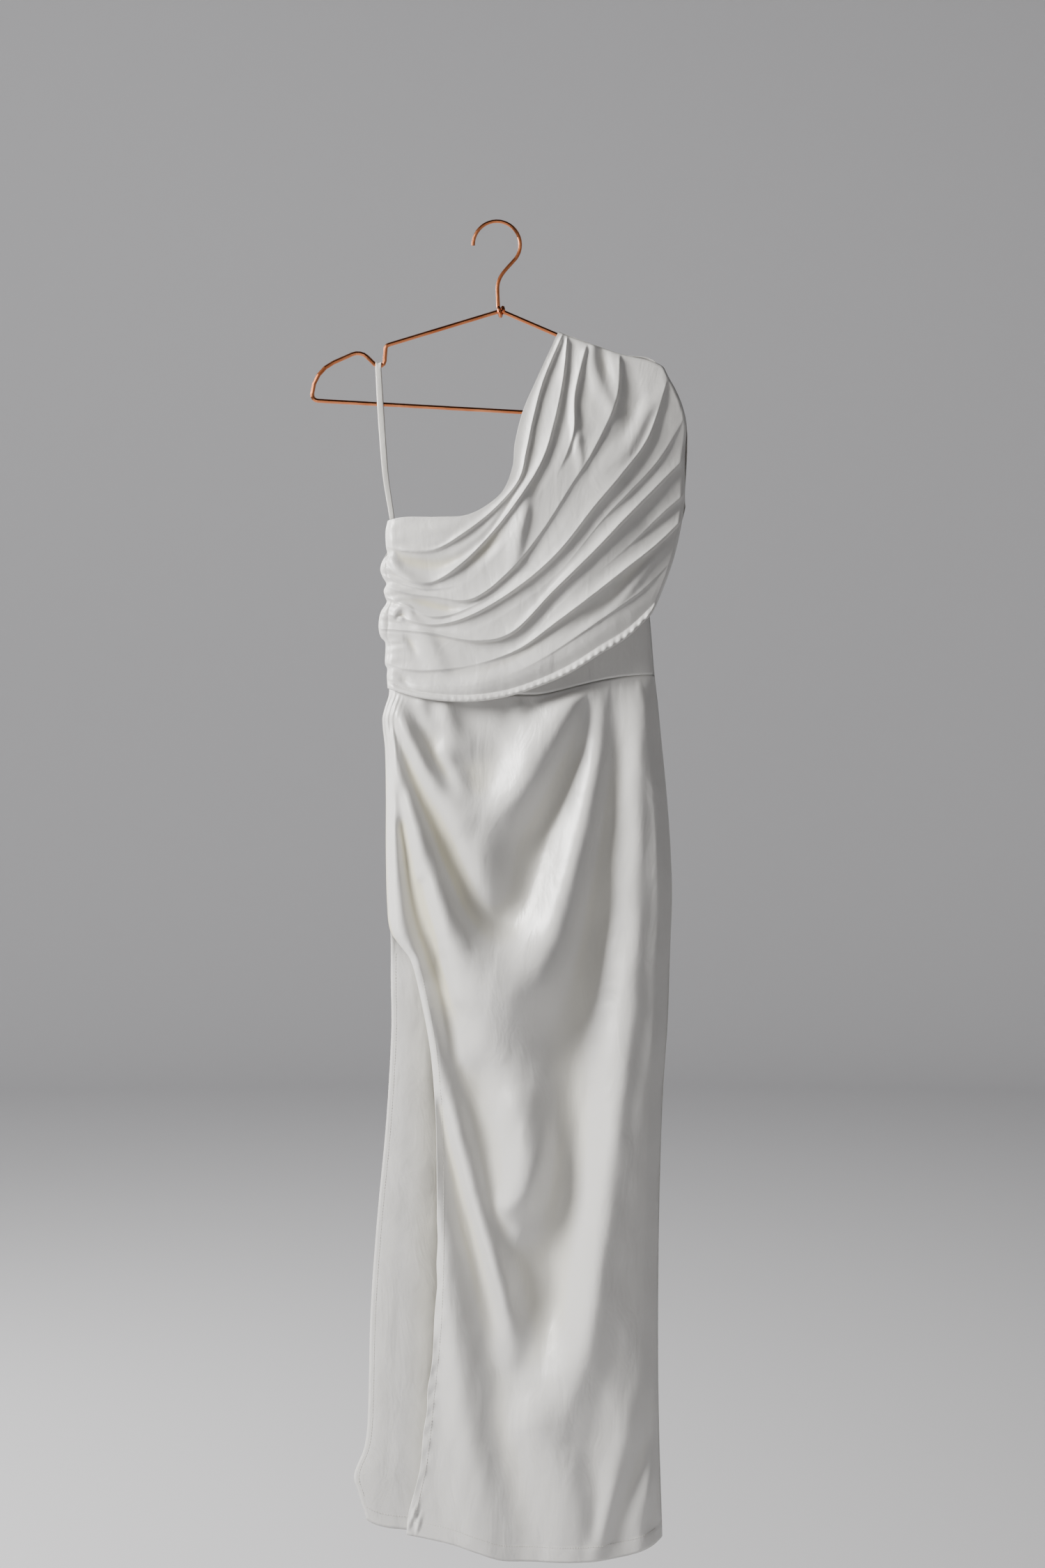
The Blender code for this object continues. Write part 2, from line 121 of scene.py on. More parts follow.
# Hanger. Round wire bent to shape, plated in rose copper and polished, with a wire hook
# wound round it at the neck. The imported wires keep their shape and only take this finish.
class Wire:
    """A socket in a material, so that shader maths reads as an expression."""

    def __init__(self, tree, socket):
        self.tree, self.socket = tree, socket

    def maths(self, operation, other):
        node = self.tree.nodes.new("ShaderNodeMath")
        node.operation = operation
        for slot_number, value in enumerate((self, other)):
            if isinstance(value, Wire):
                self.tree.links.new(value.socket, node.inputs[slot_number])
            else:
                node.inputs[slot_number].default_value = value
        return Wire(self.tree, node.outputs[0])

    def __add__(self, other):
        return self.maths('ADD', other)

    __radd__ = __add__

    def __mul__(self, other):
        return self.maths('MULTIPLY', other)

    __rmul__ = __mul__


class Finish:
    """A material under construction: its Principled shader and a way to add nodes."""

    def __init__(self, name, **sockets):
        self.material = bpy.data.materials.new(name)
        self.material.use_nodes = True
        self.tree = self.material.node_tree
        self.shader = self.tree.nodes["Principled BSDF"]
        self.feed(self.shader, sockets)

    def feed(self, node, sockets):
        for key, value in sockets.items():
            socket = node.inputs[key] if isinstance(key, int) else node.inputs[key.replace("_", " ")]
            if isinstance(value, Wire):
                self.tree.links.new(value.socket, socket)
            else:
                socket.default_value = value

    def node(self, kind, settings=None, output=0, sockets=None, **more):
        made = self.tree.nodes.new(kind)
        for key, value in (settings or {}).items():
            if key == "stops":
                ramp = made.color_ramp
                for n, (place, colour) in enumerate(value):
                    stop = ramp.elements[n] if n < 2 else ramp.elements.new(place)
                    stop.position, stop.color = place, colour
            else:
                setattr(made, key, value)
        self.feed(made, {**(sockets or {}), **more})
        return Wire(self.tree, made.outputs[output])

    def set(self, **sockets):
        self.feed(self.shader, sockets)


def copper_finish():
    copper = Finish("polished_rose_copper", Metallic=1.0)
    place = copper.node("ShaderNodeTexCoord", output="Object")
    clouds = copper.node("ShaderNodeTexNoise", Vector=place, Scale=38.0, Detail=3.0)
    drawn = copper.node("ShaderNodeTexNoise", Scale=900.0, Detail=2.0,
                        Vector=copper.node("ShaderNodeMapping", Vector=place, Scale=(0.06, 1.0, 1.0)))
    colour = copper.node("ShaderNodeValToRGB", {"stops": [(0.30, (0.60, 0.185, 0.070, 1)),
                                                        (0.70, (0.82, 0.315, 0.145, 1))]}, Fac=clouds)
    bump = copper.node("ShaderNodeBump", Strength=0.25, Distance=0.00006, Height=drawn)
    copper.set(Base_Color=colour, Roughness=clouds * 0.14 + 0.13, Normal=bump)
    return copper.material


rose_copper = copper_finish()
for wire_name in ("hanger_frame", "hanger_hook"):
    wire_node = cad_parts[wire_name]
    wire_node.data.materials.clear()
    wire_node.data.materials.append(rose_copper)


# Skirt back. One panel of satin, gathered a little at the left side seam and hung in soft folds.
# It is hemmed at the foot and along the slit, where its inside shows beside the front.
MM = 0.001
SEAM = 0.3  # gap between sewn pieces
CLOTH = 0.45  # thickness of the satin
IN_WALL = 0.75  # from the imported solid's inner face to the middle of its thickness
HEM_WIDTH = 17  # width of the turned hem
SLIT_Z = -818.0  # where the slit starts
SLIT_EASE = 60  # length over which the panel changes there
MID_HEIGHT = -700.0  # where a panel's middle is taken first
HIDDEN_DROP = 1.4  # how much lower the skirt's top lies where the drape hides it

# Outlines as (z, x), and edges that run across as (x, z), in millimetres
BODY_LEFT = [(-340, -124.3), (-430, -124.2), (-525, -123.4), (-542, -123.6), (-556, -128), (-570, -131),
    (-604, -128), (-656, -127), (-724, -127), (-783, -125.5), (-812, -122)]
BACK_SLIT = [(-865, -121.6), (-927, -121), (-1032, -127), (-1151, -138), (-1254, -145), (-1370, -148),
    (-1405, -152), (-1438, -164), (-1454, -160), (-1486, -150)]
BODY_RIGHT = [(-340, 168), (-430, 174), (-480, 178), (-518, 181), (-553, 185), (-590, 188.5), (-651, 194.5),
    (-712, 199), (-774, 201), (-842, 198.5), (-915, 196), (-989, 191), (-1062, 188), (-1176, 185.5),
    (-1304, 185), (-1397, 186.5), (-1506, 190)]
WAIST = [(-134, -532), (-60, -538), (43, -542), (70, -537.5), (95, -531), (121, -525), (146, -521),
    (182, -518.5)]
BACK_HEM = [(-160, -1484), (-136, -1495), (-104, -1499), (0, -1503), (100, -1503), (190, -1496)]
BODY_DEPTH = [(-340, 12, 8), (-530, 15, 9), (-700, 23, 13), (-1000, 28, 16), (-1300, 27, 16),
    (-1530, 26, 15)]


def lookup(table, key, column=1):
    """Smooth value of a column of a table at many keys, level beyond its ends."""
    rows = np.array(sorted(table), float)
    key = np.asarray(key, float)
    last = len(rows) - 1
    i = np.clip(np.searchsorted(rows[:, 0], key) - 1, 0, last - 1)
    a, b = rows[i], rows[i + 1]
    before, after = rows[np.maximum(i - 1, 0)], rows[np.minimum(i + 2, last)]
    span = b[..., 0] - a[..., 0]
    slope_a = (b[..., column] - before[..., column]) / (b[..., 0] - before[..., 0])
    slope_b = (after[..., column] - a[..., column]) / (after[..., 0] - a[..., 0])
    t = np.clip((key - a[..., 0]) / span, 0, 1)
    return ((2 * t ** 3 - 3 * t ** 2 + 1) * a[..., column] + (t ** 3 - 2 * t ** 2 + t) * span * slope_a
            + (3 * t ** 2 - 2 * t ** 3) * b[..., column] + (t ** 3 - t ** 2) * span * slope_b)


def ramp(value, start, end):
    """0 at start, 1 at end, with soft ends."""
    t = np.clip((value - start) / (end - start), 0, 1)
    return t * t * (3 - 2 * t)


def across(u, v, left, right, top, bottom):
    """Point of a panel: u from its left edge to its right, v from its top edge to its bottom."""
    x = (lookup(left, MID_HEIGHT) + lookup(right, MID_HEIGHT)) / 2 + 0 * u
    for _ in range(8):
        z = lookup(top, x) * (1 - v) + lookup(bottom, x) * v
        x = lookup(left, z) * (1 - u) + lookup(right, z) * u
    return x, z


def body_section(x, z, left, right, side, slit=0.0):
    """Depth of a body panel: flat in the middle and rounded to its side seams."""
    t = np.clip((2 * x - left - right) / (right - left), -1, 1)
    rounded = np.sqrt(np.maximum(1 - t ** 4, 0))
    rounded = np.where(t < 0, rounded + (1 - t * t - rounded) * slit, rounded)
    return lookup(BODY_DEPTH, z, side) * rounded


def unevenness(x, z, seed):
    """Slight hand-pressed waviness, a fraction of a millimetre high."""
    wave = 0
    for n, (length, height) in enumerate(((61, 0.34), (37, 0.22), (23, 0.12), (14, 0.05))):
        turn = seed * 1.7 + n * 2.1
        way = x * math.cos(turn) + z * 0.6 * math.sin(turn)
        wave = wave + height * np.sin(2 * np.pi * way / length + 3 * turn)
    return wave


def cloth(name, columns, rows, place, finish, thickness=CLOTH):
    """A panel of cloth: a grid whose points are put in place, then given its thickness."""
    only()
    bpy.ops.mesh.primitive_grid_add(x_subdivisions=columns, y_subdivisions=rows, size=1)
    panel = bpy.context.object
    panel.name = panel.data.name = name
    points = np.empty(len(panel.data.vertices) * 3)
    panel.data.vertices.foreach_get("co", points)
    points = points.reshape(-1, 3)
    i = np.rint((points[:, 0] + 0.5) * columns)
    j = np.rint((0.5 - points[:, 1]) * rows)
    grid_i, grid_j = np.meshgrid(np.arange(columns + 1.0), np.arange(rows + 1.0))
    x, y, z, hollow = place(grid_i, grid_j)
    pick = (j.astype(int), i.astype(int))
    placed = np.stack((x[pick], y[pick], z[pick]), 1) * MM
    panel.data.vertices.foreach_set("co", placed.ravel())
    # Painted shade: each point's share of the yellow tint that the satin takes in the hollows of its folds
    painted_shade_layer = panel.data.attributes.new("hollow", 'FLOAT', 'POINT')
    painted_shade_layer.data.foreach_set("value", hollow[pick].astype(np.float32))
    panel.data.update()
    wall = panel.modifiers.new("wall", 'SOLIDIFY')
    wall.thickness = thickness * MM
    wall.offset = 0.0
    wall.use_quality_normals = True
    bpy.ops.object.modifier_apply(modifier="wall")
    bpy.ops.object.shade_smooth()
    panel.data.materials.append(finish)
    return panel, np.stack((x, y, z), -1)


def hang_for(panel, node):
    """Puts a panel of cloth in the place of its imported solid."""
    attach(panel, "root")
    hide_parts(node)


IVORY = (0.725, 0.715, 0.69)
# The second colour is painted shade: the yellow tint laid into hollows of the folds
PAINTED_SHADE_YELLOW = (0.72, 0.67, 0.45)
SHADE, DULLNESS = 0.94, 0.25  # tone of the darker clouds, and least roughness


def satin_finish():
    """Polyester satin: ivory, softly glossy, with painted shade: a faint yellow in the hollows of its folds,
    where light bounces between them.
    """
    satin = Finish("ivory_satin", Sheen_Weight=0.05, Sheen_Roughness=0.45, Specular_IOR_Level=0.9)
    place = satin.node("ShaderNodeTexCoord", output="Object")
    woven = satin.node("ShaderNodeUVMap", {"uv_map": "UVMap"})
    clouds = satin.node("ShaderNodeTexNoise", Vector=place, Scale=9.0, Detail=3.0)
    floats = satin.node("ShaderNodeTexNoise", Scale=1.0, Detail=2.0,
                        Vector=satin.node("ShaderNodeMapping", Vector=woven, Scale=(230.0, 2100.0, 1.0)))
    rubbed = satin.node("ShaderNodeTexNoise", Vector=place, Scale=46.0, Detail=4.0)
    pressed = satin.node("ShaderNodeTexNoise", Scale=1.0, Detail=3.0, Roughness=0.55, Distortion=0.6,
                         Vector=satin.node("ShaderNodeMapping", Vector=place, Scale=(34.0, 20.0, 15.0)))
    # painted shade: the yellow tint goes where each panel's hollow layer says
    hollow = satin.node("ShaderNodeAttribute", {"attribute_name": "hollow"}, output="Fac")
    base = satin.node("ShaderNodeMix", {"data_type": 'RGBA'}, output=2,
                      sockets={0: hollow, 6: (*IVORY, 1.0), 7: (*PAINTED_SHADE_YELLOW, 1.0)})
    darker = [c * SHADE for c in IVORY]
    tone = satin.node("ShaderNodeMix", {"data_type": 'RGBA'}, output=2,
                      sockets={0: clouds * 0.5 + floats * 0.35, 6: base, 7: (*darker, 1.0)})
    creases = satin.node("ShaderNodeBump", Strength=0.6, Distance=0.0024, Height=pressed)
    weave = satin.node("ShaderNodeBump", Strength=0.5, Distance=0.00025, Height=floats * 0.7 + rubbed * 0.3,
                       Normal=creases)
    satin.set(Base_Color=tone, Roughness=rubbed * 0.10 + floats * 0.06 + DULLNESS, Normal=weave)
    return satin.material


satin = satin_finish()


def skirt_top():
    """Upper edge of the skirt: the waist seam, lower at the left where the drape hides it."""
    return [(x, lookup(WAIST, x) - SEAM / 2 - HIDDEN_DROP * ramp(-x, 80, 112)) for x in range(-134, 190, 12)]


# Lines drawn along the crests and hollows of the folds. Columns: x, z and how far the line
# stands out from the body's plain rounding. The cloth takes the smoothest form through them.
BACK_LINES = {
    "upper gather": [(-118, -575, 3), (-90, -640, 5.5), (-50, -730, 7), (0, -830, 7), (40, -940, 5.5),
        (66, -1050, 3)],
    "upper gather, foot": [(-114, -620, -1), (-92, -695, -2), (-56, -785, -3), (-12, -885, -3),
        (26, -995, -1.5)],
    "lower gather": [(-119, -680, 2), (-100, -760, 4.5), (-70, -860, 5.5), (-36, -980, 6), (-8, -1100, 5),
        (10, -1220, 3), (20, -1330, 1)],
    "right swag": [(174, -560, 2), (160, -640, 5), (132, -740, 6.5), (96, -830, 6.5), (60, -905, 4.5)],
    "right swag, hollow": [(146, -590, -1), (114, -695, -3), (80, -785, -3), (44, -860, -1.5)],
    "long fold": [(156, -880, 3), (144, -1000, 5.5), (130, -1150, 6.5), (121, -1280, 6), (116, -1400, 4.5),
        (114, -1500, 3)],
    "long fold, hollow": [(174, -960, -1), (166, -1100, -2), (157, -1250, -2), (150, -1400, -1)],
    "foot fold": [(66, -1160, 1), (56, -1260, 4), (48, -1380, 5), (42, -1500, 4)],
    "foot fold, hollow": [(92, -1200, -1.5), (86, -1320, -2.5), (80, -1450, -1.5)],
    "left foot fold": [(-14, -1230, 1), (-22, -1310, 3.5), (-28, -1400, 4), (-31, -1495, 3)],
    "left foot fold, hollow": [(8, -1400, -1.5), (6, -1490, -1)],
    "waist crease": [(40, -548, 3), (36, -590, 4), (27, -640, 2)],
    "waist crease, foot": [(56, -556, -0.5), (54, -600, -1), (50, -650, -1)],
    "left seam": [(-130, -600, 0), (-127, -760, 0), (-124, -900, 0), (-137, -1150, 0), (-150, -1400, 0)],
    "waist seam": [(-100, -540, 0), (-40, -543, 0), (20, -546, 0), (80, -540, 0), (140, -525, 0)],
    "right seam": [(190, -600, 0), (200, -760, 0), (192, -1000, 0), (186, -1200, 0), (188, -1480, 0)],
}


def smooth_rows(rows, steps):
    """Catmull-Rom curve through rows of numbers, as a dense array."""
    rows = np.array(rows, float)
    ends = np.vstack((rows[:1], rows, rows[-1:]))
    t = (np.arange(steps) / steps)[:, None]
    out = []
    for i in range(len(rows) - 1):
        p0, p1, p2, p3 = ends[i:i + 4]
        out.append(0.5 * (2 * p1 + (p2 - p0) * t + (2 * p0 - 5 * p1 + 4 * p2 - p3) * t * t
                          + (3 * p1 - p0 - 3 * p2 + p3) * t ** 3))
    return np.vstack(out + [rows[-1:]])


MARK_SPACING = 7.0  # distance between the points that are kept to on each line
GIVE = 0.006  # how far the cloth may leave them to stay smooth


def through_lines(x, z, lines):
    """Smoothest height over (x, z) that keeps to every line, as a thin plate would bend."""
    marks = []
    for rows in lines.values():
        dense = smooth_rows(rows, 12)
        along = np.concatenate(([0], np.cumsum(np.hypot(*np.diff(dense[:, :2], axis=0).T))))
        at = np.linspace(0, along[-1], max(2, int(along[-1] / MARK_SPACING) + 1))
        marks.append(np.column_stack([np.interp(at, along, dense[:, k]) for k in range(3)]))
    marks = np.vstack(marks)
    px, pz, height = marks.T

    def bend(dx, dz):
        square = (dx * dx + dz * dz) * 1e-4 + 1e-9
        return square * np.log(square)

    count = len(marks)
    flat = np.column_stack((np.ones(count), px / 100, pz / 100))
    system = np.zeros((count + 3, count + 3))
    system[:count, :count] = bend(px[:, None] - px, pz[:, None] - pz) + GIVE * np.eye(count)
    system[:count, count:] = flat
    system[count:, :count] = flat.T
    weights = np.linalg.solve(system, np.append(height, (0, 0, 0)))
    out = weights[count] + weights[count + 1] * x / 100 + weights[count + 2] * z / 100
    for mark_x, mark_z, weight in zip(px, pz, weights):
        out = out + weight * bend(x - mark_x, z - mark_z)
    return out


def soften(height, passes):
    """Rounds a grid of heights a little more at each pass."""
    for _ in range(passes):
        padded = np.pad(height, 1, mode='edge')
        height = (padded[1:-1, 1:-1] * 4 + padded[:-2, 1:-1] + padded[2:, 1:-1]
                  + padded[1:-1, :-2] + padded[1:-1, 2:]) / 8
    return height


STRIP_LEAN, LEAN_WIDTH = 6.5, 26  # the strip beside the slit leans forwards from its edge
EDGE_ROLL = 0.6  # height of its rolled edge


def place_skirt_back(i, j):
    u, v = 1 - i / BACK_COLUMNS, j / BACK_ROWS
    x, z = across(u, v, BODY_LEFT + BACK_SLIT, BODY_RIGHT, skirt_top(), BACK_HEM)
    left, right = lookup(BODY_LEFT + BACK_SLIT, z), lookup(BODY_RIGHT, z)
    depth = body_section(x, z, left, right, 2)
    showing = ramp(-z, -SLIT_Z - SLIT_EASE, -SLIT_Z + SLIT_EASE)
    depth = depth * (1 - showing * (1 - ramp(x, -90, 10)))
    quiet = ramp(x - left, 0, 25) * ramp(right - x, 0, 22) * ramp(lookup(WAIST, x) - z, 0, 22)
    quiet = quiet * (1 - showing * (1 - ramp(x, -84, -30)))
    depth = depth + soften(through_lines(x, z, BACK_LINES), 4) * quiet
    strip = x - left
    rolled = EDGE_ROLL * showing * np.exp(-((strip - 3) / 3) ** 2)
    depth = depth - STRIP_LEAN * showing * (1 - np.exp(-strip / LEAN_WIDTH)) + rolled
    depth = depth + unevenness(x, z, 3) * ramp(-z, 560, 640)
    hem = lookup(BACK_HEM, x) + HEM_WIDTH - z
    depth = depth + 0.5 * ramp(hem, -0.8, 0.8) - 0.35 * np.exp(-(hem / 1.2) ** 2)
    # Painted shade: the yellow tint in the strip behind the slit, where the front panel shades the back
    hollow = 0.5 * ramp(x, -112, -70) * showing * (1 - ramp(x, -40, 30))
    return x, SEAM / 2 + IN_WALL + depth, z, hollow


def thread_finish():
    """Polyester thread, two plies twisted, a little duller than the satin."""
    thread = Finish("ivory_thread", Sheen_Weight=0.2, Sheen_Roughness=0.5)
    place = thread.node("ShaderNodeTexCoord", output="Object")
    plies = thread.node("ShaderNodeTexWave", {"bands_direction": 'DIAGONAL'}, Vector=place, Scale=1400.0)
    colour = thread.node("ShaderNodeValToRGB", {"stops": [(0.2, (0.60, 0.58, 0.53, 1)),
                                                          (0.8, (0.70, 0.68, 0.64, 1))]}, Fac=plies)
    thread.set(Base_Color=colour, Roughness=plies * 0.12 + 0.5)
    return thread.material


THREAD = thread_finish()
STITCH = (1.25, 0.34, 0.30)  # half length, half width and half height
STITCH_PROUD = 0.2  # how far a stitch stands off the cloth


def stitch_row(name, panel, line, outward, pitch):
    """Short rounded stitches along a line of (x, z) on a panel, joined as one piece."""
    line = np.array(line, float)
    along = np.concatenate(([0], np.cumsum(np.hypot(*np.diff(line, axis=0).T))))
    at = np.arange(pitch, along[-1] - pitch, pitch)
    route = np.column_stack([np.interp(at, along, line[:, n]) for n in (0, 1)])
    cells = panel.reshape(-1, 3)
    depth = []
    for x, z in route:
        away = (cells[:, 0] - x) ** 2 + (cells[:, 2] - z) ** 2
        nearest = np.argpartition(away, 4)[:4]
        depth.append(np.average(cells[nearest, 1], weights=1 / (away[nearest] + 0.01)))
    route = np.column_stack((route[:, 0], depth, route[:, 1]))
    only()
    bpy.ops.mesh.primitive_uv_sphere_add(segments=8, ring_count=5, radius=1)
    bpy.ops.object.shade_smooth()
    first = bpy.context.object
    copies = []
    face = Vector((0.0, outward, 0.0))
    for n, spot in enumerate(route):
        way = Vector(route[min(n + 1, len(route) - 1)] - route[max(n - 1, 0)]).normalized()
        wide = face.cross(way).normalized()
        up = way.cross(wide).normalized()
        place = Matrix((way * STITCH[0], wide * STITCH[1], up * STITCH[2])).transposed().to_4x4()
        place.translation = Vector(spot) + up * (CLOTH / 2 + STITCH_PROUD) * (1 if up.dot(face) > 0 else -1)
        stitch = first.copy()
        stitch.data = first.data.copy()
        stitch.data.transform(Matrix.Scale(MM, 4) @ place)
        bpy.context.scene.collection.objects.link(stitch)
        copies.append(stitch)
    bpy.data.objects.remove(first)
    only(copies[0])
    for stitch in copies:
        stitch.select_set(True)
    bpy.ops.object.join()
    row = bpy.context.object
    row.name = row.data.name = name
    bpy.ops.object.mode_set(mode='EDIT')
    bpy.ops.mesh.select_all(action='SELECT')
    bpy.ops.mesh.normals_make_consistent(inside=False)
    bpy.ops.object.mode_set(mode='OBJECT')
    row.data.materials.append(THREAD)
    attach(row, "root")
    return row


BACK_COLUMNS, BACK_ROWS = 96, 250
skirt_back, back_points = cloth("satin_skirt_back", BACK_COLUMNS, BACK_ROWS, place_skirt_back, satin)
hang_for(skirt_back, "skirt_back")
back_hem_line = [(x, lookup(BACK_HEM, x) + HEM_WIDTH - 2) for x in range(-152, 188, 4)]
inside_line = back_hem_line[:22]
back_slit_line = [(lookup(BODY_LEFT + BACK_SLIT, z) + 5.5, z) for z in range(-836, -1472, -6)]
back_rows = [
    stitch_row("back_hem_stitches", back_points, back_hem_line, outward=1, pitch=3.2),
    stitch_row("back_hem_stitches_inside", back_points, inside_line, outward=-1, pitch=3.2),
    stitch_row("back_slit_stitches", back_points, back_slit_line, outward=-1, pitch=3.4)]


# Skirt front. One panel cut wider than the waist: its left side is gathered into the side
# seam, and tucks in the waist seam hold the right, so it falls in deep swags between the
# two. The slit edge and the foot are turned under once and stitched.
FRONT_SLIT = [(-828, -112), (-845, -99), (-880, -89), (-949, -76), (-1024, -70), (-1104, -68.5),
    (-1184, -68), (-1264, -71), (-1344, -79), (-1424, -88), (-1484, -101), (-1504, -104)]
FRONT_HEM = [(-104, -1504), (-54, -1512), (-22, -1521), (5, -1529), (26, -1530.5), (106, -1529),
    (146, -1524), (177, -1514.5), (190, -1506.5)]

